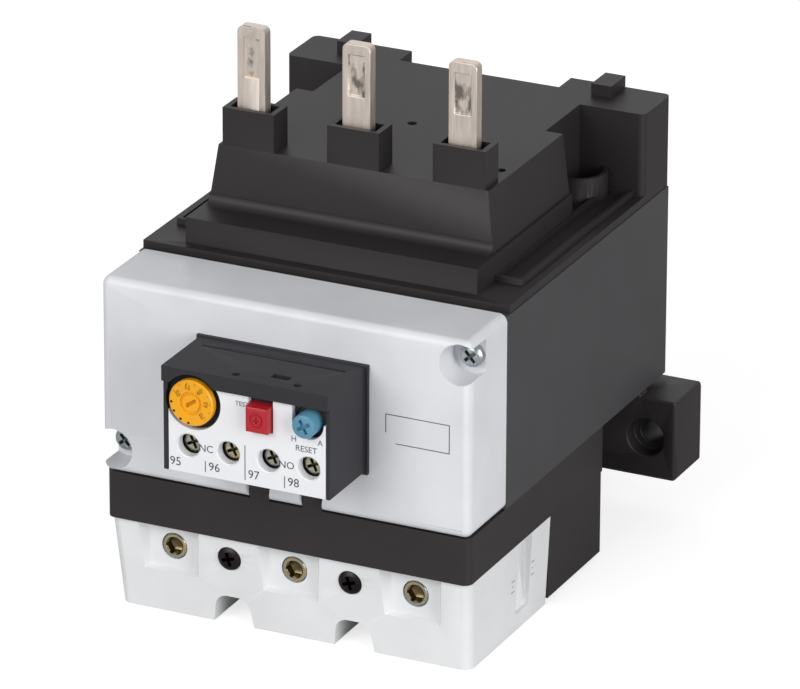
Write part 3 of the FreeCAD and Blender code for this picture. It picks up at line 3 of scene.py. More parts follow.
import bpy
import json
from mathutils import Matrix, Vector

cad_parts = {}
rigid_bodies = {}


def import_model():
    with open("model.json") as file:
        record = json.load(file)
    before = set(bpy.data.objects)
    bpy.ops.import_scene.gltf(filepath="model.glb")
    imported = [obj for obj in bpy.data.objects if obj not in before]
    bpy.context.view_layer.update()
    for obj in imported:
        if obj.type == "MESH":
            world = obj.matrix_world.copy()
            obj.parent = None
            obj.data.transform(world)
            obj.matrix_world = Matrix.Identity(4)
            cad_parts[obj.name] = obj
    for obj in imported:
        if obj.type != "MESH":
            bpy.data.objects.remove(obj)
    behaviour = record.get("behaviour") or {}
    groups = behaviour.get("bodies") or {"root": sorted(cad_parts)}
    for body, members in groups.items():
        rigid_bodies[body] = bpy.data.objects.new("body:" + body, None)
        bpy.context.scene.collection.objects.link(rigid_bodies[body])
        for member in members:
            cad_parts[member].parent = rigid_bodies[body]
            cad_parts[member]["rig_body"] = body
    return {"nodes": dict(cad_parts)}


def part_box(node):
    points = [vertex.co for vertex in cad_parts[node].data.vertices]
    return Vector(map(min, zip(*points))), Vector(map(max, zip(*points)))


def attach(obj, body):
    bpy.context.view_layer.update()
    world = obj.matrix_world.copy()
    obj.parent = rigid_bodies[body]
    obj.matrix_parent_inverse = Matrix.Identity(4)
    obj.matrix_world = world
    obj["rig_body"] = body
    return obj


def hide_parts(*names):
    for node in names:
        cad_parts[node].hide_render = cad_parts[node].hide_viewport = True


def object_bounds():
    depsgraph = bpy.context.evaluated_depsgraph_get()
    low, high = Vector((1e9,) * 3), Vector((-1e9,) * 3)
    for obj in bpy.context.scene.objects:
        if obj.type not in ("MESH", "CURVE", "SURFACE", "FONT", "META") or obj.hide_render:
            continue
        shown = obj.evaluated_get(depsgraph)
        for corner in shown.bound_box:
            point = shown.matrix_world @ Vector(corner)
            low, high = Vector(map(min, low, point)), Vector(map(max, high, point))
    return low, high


bl_info = {
    "name": "Thermal overload relay looks",
    "version": (1, 0, 0),
    "blender": (4, 5, 0),
    "location": "3D View > Sidebar > Relay",
    "description": "Builds the visible pieces of a thermal overload relay around its frame",
    "category": "Object",
}

import json
import math

import bmesh
import bpy
from bpy.props import FloatProperty, FloatVectorProperty, IntProperty, PointerProperty
from mathutils import Matrix, Vector
from mathutils.bvhtree import BVHTree

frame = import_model()
CAD_BOX = [list(corner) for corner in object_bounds()]

MM = 0.001
WELD = 0.001 * MM
FULL_TURN = 2 * math.pi
UPRIGHT = Matrix.Rotation(math.radians(90), 4, "X")
POLES = ("left", "middle", "right")
AUX_NUMBERS = ("95", "96", "97", "98")
BLADE_PITCH = 26 * MM

# Pieces whose flat faces have openings: they keep every triangle of the frame.
PIERCED = ("module_housing", "mounting_foot", "terminal_cover", "terminal_cage_left",
           "terminal_cage_middle", "terminal_cage_right")

# Middle of the dial across and up, and the radii of its rings of figures and of ticks.
DIAL_CENTRE = (-13.0 * MM, 63.5 * MM)
FIGURE_RING = 3.75 * MM
TICK_RING = 4.75 * MM

# Printed words, each with its height and the place of its middle across and up, in millimetres.
WORDS = (("95", 2.0, -17.4, 48.5), ("96", 2.0, -7.9, 48.7), ("97", 2.0, 1.8, 48.7),
         ("98", 2.0, 11.5, 48.7), ("NC", 1.7, -9.9, 52.8), ("NO", 1.7, 9.8, 52.6),
         ("TEST", 1.1, -1.0, 65.1), ("RESET", 1.4, 14.6, 57.2),
         ("H", 1.3, 11.6, 59.2), ("A", 1.3, 18.0, 59.3))

# Printed bars, each with two opposite corners across and up, in millimetres.
DIVIDERS = (((-10.17, 47.3), (-9.97, 49.9)), ((-0.43, 47.2), (-0.23, 55.5)),
            ((9.23, 47.1), (9.43, 49.9)))
MARKING_FIELD = (((24.9, 60.5), (40.5, 60.7)), ((40.3, 53.8), (40.5, 60.7)),
                 ((27.4, 53.8), (40.5, 54.0)), ((24.9, 56.2), (25.1, 60.7)))

# Gauge marks on the side, each with its place back and up and half its length, in millimetres.
GAUGE_MARKS = ((-17.4, 13.4, 0.8), (-17.4, 10.7, 0.8), (-17.4, 12.05, 0.35),
               (-6.9, 14.2, 0.8), (-6.9, 11.0, 0.8), (-6.9, 12.6, 0.35))
GAUGE_LINE = 0.13

# Camera: focal length, place, and the directions of its right, upper and rear sides.
LENS = 343.74
CAMERA_SPOT = (0.68859104, -1.43726064, 0.71324369)
CAMERA_SIDES = ((0.90307614, 0.42946581, 0.00354999), (-0.16662279, 0.34273033, 0.92453922),
                (0.3958413, -0.83552082, 0.38107038))

# Lamps, each with its place, width in metres and power in watts, and the point they light.
LAMPS = (("right_lamp", (1.4, -0.6, 0.42), 1.1, 16.5),
         ("front_lamp", (-0.4, -1.4, 0.8), 1.2, 14.6))
LAMP_TARGET = (0, 0, 0.06)
SKY_LIGHT = 0.44


def screen_colour(name, about, value):
    """A colour property, stored as it looks on a screen."""
    return FloatVectorProperty(name=name, description=about, subtype="COLOR_GAMMA", size=3,
                               min=0.0, max=1.0, default=[v / 255 for v in value])


class RelayColours(bpy.types.PropertyGroup):
    """Colours of the mouldings and metals."""
    cover: screen_colour("Front cover", "Light grey front cover", (212, 213, 217))
    lower: screen_colour("Terminal cover", "Pale grey terminal cover", (222, 223, 224))
    body: screen_colour("Main housing", "Dark grey main housing", (64, 64, 66))
    black: screen_colour("Black parts", "Adapter, terminal block and foot", (37, 33, 34))
    module: screen_colour("Module", "Dark housing of the control module", (45, 45, 49))
    label: screen_colour("Label", "White label plate", (226, 227, 230))
    ink: screen_colour("Ink", "Printed characters", (70, 70, 74))
    dial: screen_colour("Dial", "Yellow setting dial", (230, 160, 18))
    test: screen_colour("Test button", "Red button", (170, 30, 42))
    reset: screen_colour("Reset button", "Blue button", (86, 138, 164))
    natural: screen_colour("Inner plastic", "Uncoloured inner mouldings", (196, 192, 180))
    zinc: screen_colour("Zinc plate", "Bright zinc on screws and clamps", (188, 196, 200))
    gilt: screen_colour("Warm zinc", "Warm plating of the terminal screws", (176, 158, 116))
    tin: screen_colour("Tin plate", "Tin plate on the blades", (226, 214, 204))
    copper: screen_colour("Copper", "Bare copper of the bars", (190, 120, 84))
    strip: screen_colour("Bimetal", "Rolled bimetal", (164, 154, 142))


class RelaySizes(bpy.types.PropertyGroup):
    """Sizes of the finer detail."""
    moulding_round: FloatProperty(name="Moulding edge", description="Edge radius of mouldings",
                                  unit="LENGTH", default=0.35 * MM, min=0.0)
    metal_round: FloatProperty(name="Metal edge", description="Edge radius of metal pieces",
                               unit="LENGTH", default=0.15 * MM, min=0.0)
    cove_round: FloatProperty(name="Cove", description="Radius at the foot of the slope",
                              unit="LENGTH", default=2.4 * MM, min=0.0)
    ink_height: FloatProperty(name="Ink", description="Thickness of the printed ink",
                              unit="LENGTH", default=0.03 * MM, min=0.0)
    round_steps: IntProperty(name="Edge steps", description="Faces across a rounded edge",
                             default=2, min=1, max=6)


def colour_of(name):
    """A named colour of the panel in linear values, with alpha."""
    shown = getattr(bpy.context.scene.relay_colours, name)
    linear = [c / 12.92 if c <= 0.04045 else ((c + 0.055) / 1.055) ** 2.4 for c in shown]
    return (*linear, 1.0)


# ---------------------------------------------------------------- Finishes

class Finish:
    """A small helper that lays out one node material."""

    def __init__(self, name):
        self.material = bpy.data.materials.new(name)
        self.material.use_nodes = True
        self.tree = self.material.node_tree
        self.shader = self.tree.nodes["Principled BSDF"]

    def node(self, kind, **values):
        """A new node, with some of its inputs or settings filled in."""
        made = self.tree.nodes.new("ShaderNode" + kind)
        for key, value in values.items():
            if key in made.inputs:
                made.inputs[key].default_value = value
            else:
                setattr(made, key, value)
        return made

    def join(self, source, target):
        """Links an output to an input."""
        self.tree.links.new(source, target)

    def place(self, stretch=(1, 1, 1)):
        """Object coordinates, stretched for brushed or rolled grain."""
        coordinate = self.node("TexCoord")
        mapping = self.node("Mapping")
        mapping.inputs["Scale"].default_value = stretch
        self.join(coordinate.outputs["Object"], mapping.inputs["Vector"])
        return mapping.outputs["Vector"]

    def noise(self, scale, detail, stretch=(1, 1, 1)):
        """An even noise over the piece, finer with a larger scale."""
        made = self.node("TexNoise", Scale=scale, Detail=detail)
        self.join(self.place(stretch), made.inputs["Vector"])
        return made.outputs["Fac"]

    def ramp(self, source, low, high, first, last):
        """Maps a span of values to two colours."""
        made = self.node("ValToRGB")
        made.color_ramp.elements[0].position = low
        made.color_ramp.elements[1].position = high
        made.color_ramp.elements[0].color = first
        made.color_ramp.elements[1].color = last
        self.join(source, made.inputs["Fac"])
        return made.outputs["Color"]

    def span(self, source, low, high):
        """Maps 0..1 to a span of plain values."""
        made = self.node("MapRange")
        made.inputs["To Min"].default_value = low
        made.inputs["To Max"].default_value = high
        self.join(source, made.inputs["Value"])
        return made.outputs["Result"]

    def bump(self, source, depth, strength):
        """Relief from a noise, with its depth in metres."""
        made = self.node("Bump", Strength=strength, Distance=depth)
        self.join(source, made.inputs["Height"])
        self.join(made.outputs["Normal"], self.shader.inputs["Normal"])


def shade(colour, factor):
    """The same colour, lighter or darker."""
    return (*[min(1.0, c * factor) for c in colour[:3]], 1.0)


def moulded(name, colour, rough, grain=5200.0, depth=0.012 * MM, mottle=0.05, sheen=0.5):
    """Injection-moulded plastic: fine spark-eroded grain and a faint unevenness of tone."""
    made = Finish(name)
    made.shader.inputs["Specular IOR Level"].default_value = sheen
    tone = made.noise(60.0, 2.0)
    made.join(made.ramp(tone, 0.3, 0.7, shade(colour, 1 - mottle), shade(colour, 1 + mottle)),
              made.shader.inputs["Base Color"])
    fine = made.noise(grain, 2.0)
    made.join(made.span(fine, rough - 0.07, rough + 0.07), made.shader.inputs["Roughness"])
    made.bump(fine, depth, 0.6)
    return made.material


def metal(name, colour, rough, stretch=(1, 1, 1), grain=1800.0, depth=0.006 * MM, tint=None):
    """Plated or rolled metal with grain along one axis and small changes of tint."""
    made = Finish(name)
    made.shader.inputs["Metallic"].default_value = 1.0
    tone = made.noise(260.0, 3.0, stretch)
    made.join(made.ramp(tone, 0.35, 0.7, tint or shade(colour, 0.82), shade(colour, 1.05)),
              made.shader.inputs["Base Color"])
    fine = made.noise(grain, 3.0, stretch)
    made.join(made.span(fine, rough - 0.1, rough + 0.12), made.shader.inputs["Roughness"])
    made.bump(fine, depth, 0.5)
    return made.material


def stamped(name, colour, front):
    """Tin plate with darker flux stains on the floor of the pressed field."""
    made = Finish(name)
    made.shader.inputs["Metallic"].default_value = 1.0
    field_top, field_floor, field_half = front + 0.12 * MM, front + 0.6 * MM, 2.1 * MM
    axes = made.node("SeparateXYZ")
    made.join(made.place(), axes.inputs[0])
    across = made.node("Math", operation="PINGPONG")
    across.inputs[1].default_value = BLADE_PITCH / 2
    made.join(axes.outputs["X"], across.inputs[0])
    stain = made.ramp(made.noise(420.0, 4.0, (1, 1, 0.5)), 0.5, 0.62, (0, 0, 0, 1), (1, 1, 1, 1))
    for source, operation, limit in ((axes.outputs["Y"], "GREATER_THAN", field_top),
                                     (axes.outputs["Y"], "LESS_THAN", field_floor),
                                     (across.outputs[0], "LESS_THAN", field_half)):
        inside = made.node("Math", operation=operation)
        inside.inputs[1].default_value = limit
        made.join(source, inside.inputs[0])
        both = made.node("Math", operation="MULTIPLY")
        made.join(stain, both.inputs[0])
        made.join(inside.outputs[0], both.inputs[1])
        stain = both.outputs[0]
    grain = made.noise(1500.0, 3.0, (1, 1, 0.12))
    plate = made.ramp(grain, 0.3, 0.7, shade(colour, 0.9), shade(colour, 1.06))
    mix = made.node("Mix", data_type="RGBA")
    share, clean, stained, mixed = mix.inputs[0], mix.inputs[6], mix.inputs[7], mix.outputs[2]
    made.join(stain, share)
    made.join(plate, clean)
    stained.default_value = shade(colour, 0.3)
    made.join(mixed, made.shader.inputs["Base Color"])
    made.join(made.span(grain, 0.38, 0.56), made.shader.inputs["Roughness"])
    made.bump(grain, 0.01 * MM, 0.5)
    return made.material


def printed(name, colour):
    """Pad-printed ink with slightly uneven cover."""
    made = Finish(name)
    tone = made.noise(2600.0, 2.0)
    made.join(made.ramp(tone, 0.3, 0.7, shade(colour, 0.85), shade(colour, 1.25)),
              made.shader.inputs["Base Color"])
    made.shader.inputs["Roughness"].default_value = 0.55
    return made.material


def stage_paint(name, glow, tone, kind):
    """Pale paint that glows to the camera, so that it shows white but keeps a soft shadow."""
    made = Finish(name)
    paint = (tone, tone, tone, 1)
    made.join(made.ramp(made.noise(3.0, 2.0), 0.3, 0.7, paint, shade(paint, 1.04)),
              made.shader.inputs["Base Color"])
    made.shader.inputs["Roughness"].default_value = 0.8
    made.shader.inputs["Specular IOR Level"].default_value = 0.0
    path = made.node("LightPath")
    gate = made.node("Math", operation="MULTIPLY")
    gate.inputs[1].default_value = glow
    seen = path.outputs["Is Camera Ray"]
    if kind == "backdrop":
        both = made.node("Math", operation="MAXIMUM")
        made.join(seen, both.inputs[0])
        made.join(path.outputs["Is Glossy Ray"], both.inputs[1])
        seen = both.outputs[0]
    made.join(seen, gate.inputs[0])
    made.shader.inputs["Emission Color"].default_value = (1, 1, 1, 1)
    made.join(gate.outputs[0], made.shader.inputs["Emission Strength"])
    return made.material


finishes = {}


def make_finishes():
    """Fills the table of finishes from the colours of the panel."""
    c = {key: colour_of(key) for key in RelayColours.__annotations__}
    finishes.update(
        light_grey=moulded("Light grey moulding", c["cover"], 0.4),
        pale_grey=moulded("Pale grey moulding", c["lower"], 0.4),
        body_grey=moulded("Dark grey moulding", c["body"], 0.55, depth=0.018 * MM, sheen=0.3),
        black=moulded("Black moulding", c["black"], 0.5, depth=0.016 * MM, mottle=0.08,
                      sheen=0.35),
        # Lower section: a lighter copy of the black moulding, painted light standing in for the
        # light on its right side.
        section=moulded("Lower section moulding", shade(c["black"], 1.25), 0.5, mottle=0.08,
                        sheen=0.35),
        module=moulded("Module moulding", c["module"], 0.55, sheen=0.25),
        label=moulded("White label", c["label"], 0.34, grain=7000.0, depth=0.004 * MM,
                      mottle=0.02),
        dial=moulded("Yellow moulding", c["dial"], 0.34, grain=6000.0, depth=0.006 * MM,
                     mottle=0.04),
        test=moulded("Red moulding", c["test"], 0.32, grain=6000.0, depth=0.006 * MM,
                     mottle=0.06),
        reset=moulded("Blue moulding", c["reset"], 0.3, grain=6000.0, depth=0.006 * MM,
                      mottle=0.06),
        natural=moulded("Inner moulding", c["natural"], 0.5),
        ink=printed("Grey ink", c["ink"]),
        faint_ink=printed("Faint ink", shade(c["lower"], 0.3)),
        dark_ink=printed("Dial ink", shade(c["dial"], 0.35)),
        zinc=metal("Bright zinc", c["zinc"], 0.28),
        warm_zinc=metal("Warm zinc", shade(c["gilt"], 1.5), 0.34, tint=shade(c["zinc"], 0.8)),
        rim=metal("Screw rim", shade(c["gilt"], 1.5), 0.26, tint=shade(c["zinc"], 0.9)),
        # Darker finishes for sockets and driver recesses: painted shade inside the screws'
        # hollows.
        socket=metal("Socket shade", shade(c["gilt"], 0.6), 0.34, tint=shade(c["gilt"], 0.3)),
        recess=metal("Driver recess shade", shade(c["gilt"], 0.3), 0.45),
        zinc_recess=metal("Zinc recess shade", shade(c["zinc"], 0.4), 0.4),
        dark_recess=metal("Dark recess shade", shade(c["black"], 0.4), 0.5),
        tin=metal("Tin plate", c["tin"], 0.34, (1, 1, 0.12), grain=1500.0, depth=0.01 * MM),
        blade=stamped("Tin plated blade", c["tin"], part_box("contact_blade_left")[0].y),
        copper=metal("Copper", c["copper"], 0.34, (1, 1, 0.2)),
        strip=metal("Bimetal strip", c["strip"], 0.4, (1, 1, 0.1)),
        dark_steel=metal("Blackened steel", shade(c["black"], 2.0), 0.36),
        wire=metal("Spring wire", c["zinc"], 0.3),
    )


# ---------------------------------------------------------------- Building helpers

def settle(piece, body, finish):
    """Gives a new piece its finish and the body it rides on."""
    piece.data.materials.clear()
    piece.data.materials.append(finishes[finish])
    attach(piece, body)


def new_piece(name, shape):
    """An object made from a bmesh, which is used up."""
    mesh = bpy.data.meshes.new(name)
    shape.to_mesh(mesh)
    shape.free()
    piece = bpy.data.objects.new(name, mesh)
    bpy.context.scene.collection.objects.link(piece)
    return piece


def body_of_node(node):
    """The body that a frame node moves with."""
    return frame["nodes"][node]["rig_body"]


def merged_copy(node):
    """A bmesh of a frame node: triangles joined, and flat faces whole unless pierced."""
    shape = bmesh.new()
    shape.from_mesh(frame["nodes"][node].data)
    bmesh.ops.remove_doubles(shape, verts=shape.verts, dist=WELD)
    if node not in PIERCED:
        bmesh.ops.dissolve_limit(shape, angle_limit=math.radians(0.5), verts=shape.verts,
                                 edges=shape.edges, use_dissolve_boundaries=False)
    return shape


def smooth_by_angle(piece, degrees):
    """Soft shading, apart from edges sharper than an angle."""
    mesh = piece.data
    mesh.polygons.foreach_set("use_smooth", [True] * len(mesh.polygons))
    mesh.set_sharp_from_angle(angle=math.radians(degrees))


def rounded(node, radius, finish, degrees=30, smooth=24):
    """A copy of a frame node with its sharp edges rounded, in place of the node."""
    piece = new_piece(node + "_finished", merged_copy(node))
    edge = piece.modifiers.new("Edge", "BEVEL")
    edge.width = radius
    edge.segments = bpy.context.scene.relay_sizes.round_steps
    edge.limit_method = "ANGLE"
    edge.angle_limit = math.radians(degrees)
    edge.miter_outer = "MITER_ARC"
    edge.use_clamp_overlap = True
    smooth_by_angle(piece, smooth)
    settle(piece, body_of_node(node), finish)
    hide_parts(node)


def coat(node, finish):
    """A better material on a frame node that keeps its own shape."""
    for slot in frame["nodes"][node].material_slots:
        slot.material = finishes[finish]


def slot_line(half_long, half_wide, turn=0.0):
    """Outline of a rectangle as a distance from its middle in each direction."""
    least = 1e-9

    def reach(angle):
        across, along = abs(math.cos(angle - turn)), abs(math.sin(angle - turn))
        return min(half_long / max(across, least), half_wide / max(along, least))
    return reach


def cross_line(half_long, half_wide, turn=0.0):
    """Outline of a plus sign."""
    first = slot_line(half_long, half_wide, turn)
    second = slot_line(half_wide, half_long, turn)
    return lambda angle: max(first(angle), second(angle))


def hexagon_line(radius):
    """Outline of a hexagon, given the distance of its corners."""
    side = math.pi / 3

    def reach(angle):
        return radius * math.cos(side / 2) / math.cos(angle % side - side / 2)
    return reach


def corners_of(line, steps=7200, bend=2e-4):
    """Directions in which an outline bends sharply."""
    fine = [FULL_TURN * i / steps for i in range(steps)]
    reach = [line(angle) for angle in fine]
    bends = [abs(reach[i - 1] + reach[(i + 1) % steps] - 2 * reach[i]) for i in range(steps)]
    return [fine[i] for i in range(steps) if bends[i] > bend * reach[i]
            and bends[i - 1] <= bends[i] > bends[(i + 1) % steps]]


def angles_for(lines, steps, apart=0.004):
    """Even directions, with the corners of straight-sided outlines added."""
    found = [FULL_TURN * i / steps for i in range(steps)]
    for line in lines:
        found += corners_of(line)
    found.sort()
    kept = found[:1]
    for angle in found[1:]:
        if angle - kept[-1] > apart:
            kept.append(angle)
    return kept


def turned(name, centre, stages, steps=48):
    """A closed skin drawn along Y through a stack of outlines round a centre.

    A stage is (y, outline[, shift along X]). An outline is a radius, or a function that gives
    the distance from the middle in each direction.
    """
    angles = angles_for([line for _, line, *_ in stages if callable(line)], steps)
    shape = bmesh.new()
    bmesh.ops.create_circle(shape, cap_ends=True, segments=len(angles), radius=1.0)
    place = shape.verts.layers.int.new("direction")
    shape.faces.ensure_lookup_table()
    end = shape.faces[0]
    for i, vert in enumerate(end.verts):
        vert[place] = i
    for number, (y, line, *shift) in enumerate(stages):
        if number:
            made = bmesh.ops.extrude_face_region(shape, geom=[end, *end.edges])["geom"]
            end = next(part for part in made if isinstance(part, bmesh.types.BMFace))
        across = centre[0] + sum(shift)
        for vert in end.verts:
            angle = angles[vert[place]]
            reach = line(angle) if callable(line) else line
            vert.co = (across + reach * math.cos(angle), y, centre[1] + reach * math.sin(angle))
    shape.verts.layers.int.remove(place)
    bmesh.ops.recalc_face_normals(shape, faces=shape.faces)
    piece = new_piece(name, shape)
    smooth_by_angle(piece, 35)
    return piece


def paint_recess_shade(piece, centre, radius, finish):
    """A darker finish, painted shade, on the faces of a turned piece that lie in its driver
    recess.
    """
    skin, deepest = 0.1 * MM, 3 * MM
    piece.data.materials.append(finishes[finish])
    front = min(corner[1] for corner in piece.bound_box)
    for face in piece.data.polygons:
        off_centre = math.hypot(face.center.x - centre[0], face.center.z - centre[1])
        if off_centre < radius and skin < face.center.y - front < deepest:
            face.material_index = 1


def thread_rings(start, end, crest, root, pitch):
    """Outlines of a screw's thread, as rings between two depths."""
    stages = []
    while start + pitch < end:
        stages += [(start, crest), (start + pitch * 0.45, root), (start + pitch * 0.55, root)]
        start += pitch
    return stages


def screw_stages(front, tip, head, depth, stem, cross, recess, dome):
    """Outlines of a cross-recess screw, from the floor of its recess to its tip."""
    half_long, half_wide, turn = cross

    def narrowed(share):
        return cross_line(half_long * share, half_wide * (0.4 + 0.6 * share), turn)
    pitch, point = 0.7 * MM, tip - stem * 0.4
    return [(front + recess, narrowed(0.55)), (front + recess * 0.85, narrowed(0.8)),
            (front + dome * 0.1, narrowed(1.0)),
            (front, 0.62 * head), (front + dome * 0.35, 0.82 * head), (front + dome, head),
            (front + depth, head), (front + depth, stem),
            *thread_rings(front + depth + pitch, point, stem, stem * 0.9, pitch),
            (point, stem), (tip, stem * 0.7)]


def text_piece(name, words, height, spot, finish="ink", body="base",
               turn=0.0):
    """Raised ink lettering on a face that looks towards -Y; spot is the text's middle."""
    capital_share = 0.7
    curve = bpy.data.curves.new(name, "FONT")
    curve.body = words
    curve.align_x = "CENTER"
    curve.align_y = "CENTER"
    curve.size = height / capital_share
    curve.extrude = bpy.context.scene.relay_sizes.ink_height / 2
    curve.resolution_u = 3
    source = bpy.data.objects.new(name + "_curve", curve)
    bpy.context.scene.collection.objects.link(source)
    bpy.context.view_layer.update()
    mesh = bpy.data.meshes.new_from_object(source)
    mesh.name = name
    bpy.data.objects.remove(source)
    mesh.transform(Matrix.Translation(spot) @ Matrix.Rotation(turn, 4, "Y") @ UPRIGHT)
    piece = bpy.data.objects.new(name, mesh)
    bpy.context.scene.collection.objects.link(piece)
    settle(piece, body, finish)


def bar_shape(shape, low, high):
    """Adds a box between two corners to a bmesh."""
    middle = (Vector(low) + Vector(high)) / 2
    size = Vector(high) - Vector(low)
    place = Matrix.Translation(middle) @ Matrix.Diagonal((*size, 1))
    bmesh.ops.create_cube(shape, size=1.0, matrix=place)


def printed_bars(name, bars, middle, ink):
    """Thin bars of ink on a face that looks towards -Y."""
    shape = bmesh.new()
    for low, high in bars:
        bar_shape(shape, (low[0] * MM, middle - ink / 2, low[1] * MM),
                  (high[0] * MM, middle + ink / 2, high[1] * MM))
    return new_piece(name, shape)


# ---------------------------------------------------------------- Operators

class RELAY_OT_mouldings(bpy.types.Operator):
    """Housings, covers, adapter and foot with rounded edges"""
    bl_idname = "relay.mouldings"
    bl_label = "Mouldings"

    def execute(self, context):
        radius = context.scene.relay_sizes.moulding_round
        for node, finish in (("main_housing", "body_grey"), ("front_cover", "light_grey"),
                             ("terminal_housing", "section"), ("terminal_cover", "pale_grey"),
                             ("mounting_foot", "black")):
            rounded(node, radius, finish)
        rounded("label_plate", radius / 3, "label")
        rounded("top_adapter", radius * 1.4, "black", degrees=20, smooth=12)
        rounded("module_housing", radius, "module", smooth=12)
        self.cove(context.scene.relay_sizes.cove_round)
        return {"FINISHED"}

    def cove(self, radius):
        """Hollow moulding where the adapter's front slope meets its ledge."""
        half_long, wall, ledge, sunk = 35.1 * MM, -10.1 * MM, 88.2 * MM, 0.1 * MM
        shape = bmesh.new()
        foot = shape.verts.new((-half_long, wall - radius, ledge))
        bmesh.ops.spin(shape, geom=[foot], cent=(-half_long, wall - radius, ledge + radius),
                       axis=(1, 0, 0), angle=math.radians(90), steps=8)
        for y, z in ((wall + sunk, ledge + radius), (wall + sunk, ledge - sunk),
                     (wall - radius, ledge - sunk)):
            shape.verts.new((-half_long, y, z))
        end = shape.faces.new(shape.verts)
        made = bmesh.ops.extrude_face_region(shape, geom=[end])["geom"]
        bmesh.ops.translate(shape, vec=(2 * half_long, 0, 0),
                            verts=[part for part in made if isinstance(part, bmesh.types.BMVert)])
        bmesh.ops.recalc_face_normals(shape, faces=shape.faces)
        piece = new_piece("adapter_cove", shape)
        smooth_by_angle(piece, 24)
        settle(piece, "base", "black")


class RELAY_OT_printing(bpy.types.Operator):
    """Terminal numbers, key names, the marking field's outline and the gauge marks"""
    bl_idname = "relay.printing"
    bl_label = "Printing"

    def execute(self, context):
        ink = context.scene.relay_sizes.ink_height
        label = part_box("label_plate")[0].y - ink / 2
        for words, height, x, z in WORDS:
            text_piece("print_" + words, words, height * MM, (x * MM, label, z * MM))
        settle(printed_bars("print_lines", DIVIDERS, label, ink), "base", "ink")
        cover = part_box("front_cover")[0].y - ink / 2
        settle(printed_bars("print_field", MARKING_FIELD, cover, ink), "base",
               "ink")
        self.gauge(ink)
        return {"FINISHED"}

    def gauge(self, ink):
        """Gauge marks laid on the sloping side of the terminal cover."""
        shell = merged_copy("terminal_cover")
        tree = BVHTree.FromBMesh(shell)
        shell.free()
        clear, inwards = 0.1, Vector((-1, 0, 0))
        marks = bmesh.new()
        for y, z, half_long in GAUGE_MARKS:
            side = tree.ray_cast(Vector((clear, y * MM, z * MM)), inwards)[0].x
            bar_shape(marks, (side - ink / 2, (y - half_long) * MM, (z - GAUGE_LINE) * MM),
                      (side + ink / 2, (y + half_long) * MM, (z + GAUGE_LINE) * MM))
        settle(new_piece("print_gauge", marks), "base", "faint_ink")


class RELAY_OT_dial(bpy.types.Operator):
    """Setting dial with shaft, cam, driver slot and current scale"""
    bl_idname = "relay.dial"
    bl_label = "Dial"

    def execute(self, context):
        low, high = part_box("current_dial")
        disc_share = 0.95
        radius = disc_share * (high.x - low.x) / 2
        dial = turned("current_dial_finished", DIAL_CENTRE, self.stages(low.y, high.y, radius), 72)
        settle(dial, "dial", "dial")
        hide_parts("current_dial")
        self.scale(low.y, context.scene.relay_sizes.ink_height)
        return {"FINISHED"}

    def stages(self, front, back, radius):
        """Outlines of the dial, from the end of its shaft to the floor of its driver slot."""
        shaft, cam, throw, hub = 2 * MM, 3.4 * MM, 0.8 * MM, 3 * MM
        cam_back, cam_front = back - 4 * MM, back - 7 * MM
        hub_back, hub_front = front + 6.0 * MM, front + 5.0 * MM
        disc_back, groove, boss = front + 1.9 * MM, front + 0.45 * MM, front + 0.05 * MM
        slot, slot_floor = slot_line(1.5 * MM, 0.42 * MM, 0.6), front + 1.0 * MM
        return [(back, shaft), (cam_back, shaft), (cam_back, cam, throw),
                (cam_front, cam, throw), (cam_front, shaft),
                (hub_back, shaft), (hub_back, hub), (hub_front, hub), (hub_front, shaft),
                (disc_back, shaft), (disc_back, radius - 0.2 * MM), (front + 1.7 * MM, radius),
                (front + 0.3 * MM, radius), (front, radius - 0.3 * MM),
                (front, 2.75 * MM), (groove, 2.6 * MM), (groove, 2.15 * MM), (boss, 2.0 * MM),
                (boss, slot), (slot_floor, slot)]

    def scale(self, front, ink):
        """Figures, ticks and dots printed round the dial's face."""
        face, start, figure_step, tick_step = front + ink / 2, 150, 48, 24
        for i, words in enumerate(("50", "55", "60", "65", "70")):
            angle = math.radians(start - figure_step * i)
            text_piece("dial_" + words, words, 1.05 * MM, self.spot(angle, FIGURE_RING, face),
                       "dark_ink", "dial", angle - math.pi / 2)
        ticks = bmesh.new()
        length, width = 0.5 * MM, 0.11 * MM
        for i in range(9):
            angle = math.radians(start - tick_step * i)
            place = (Matrix.Translation(self.spot(angle, TICK_RING, face))
                     @ Matrix.Rotation(-angle, 4, "Y") @ Matrix.Diagonal((length, ink, width, 1)))
            bmesh.ops.create_cube(ticks, size=1.0, matrix=place)
        settle(new_piece("dial_ticks", ticks), "dial", "dark_ink")
        dots = bmesh.new()
        dot = 0.3 * MM
        for degrees in (184, 210, 238, 263):
            place = Matrix.Translation(self.spot(math.radians(degrees), TICK_RING, face))
            bmesh.ops.create_cone(dots, cap_ends=True, segments=24, radius1=dot, radius2=dot,
                                  depth=ink, matrix=place @ UPRIGHT)
        settle(new_piece("dial_dots", dots), "dial", "ink")

    def spot(self, angle, ring, face):
        """A place on the dial's face, in a direction from its middle."""
        return (DIAL_CENTRE[0] + ring * math.cos(angle), face,
                DIAL_CENTRE[1] + ring * math.sin(angle))


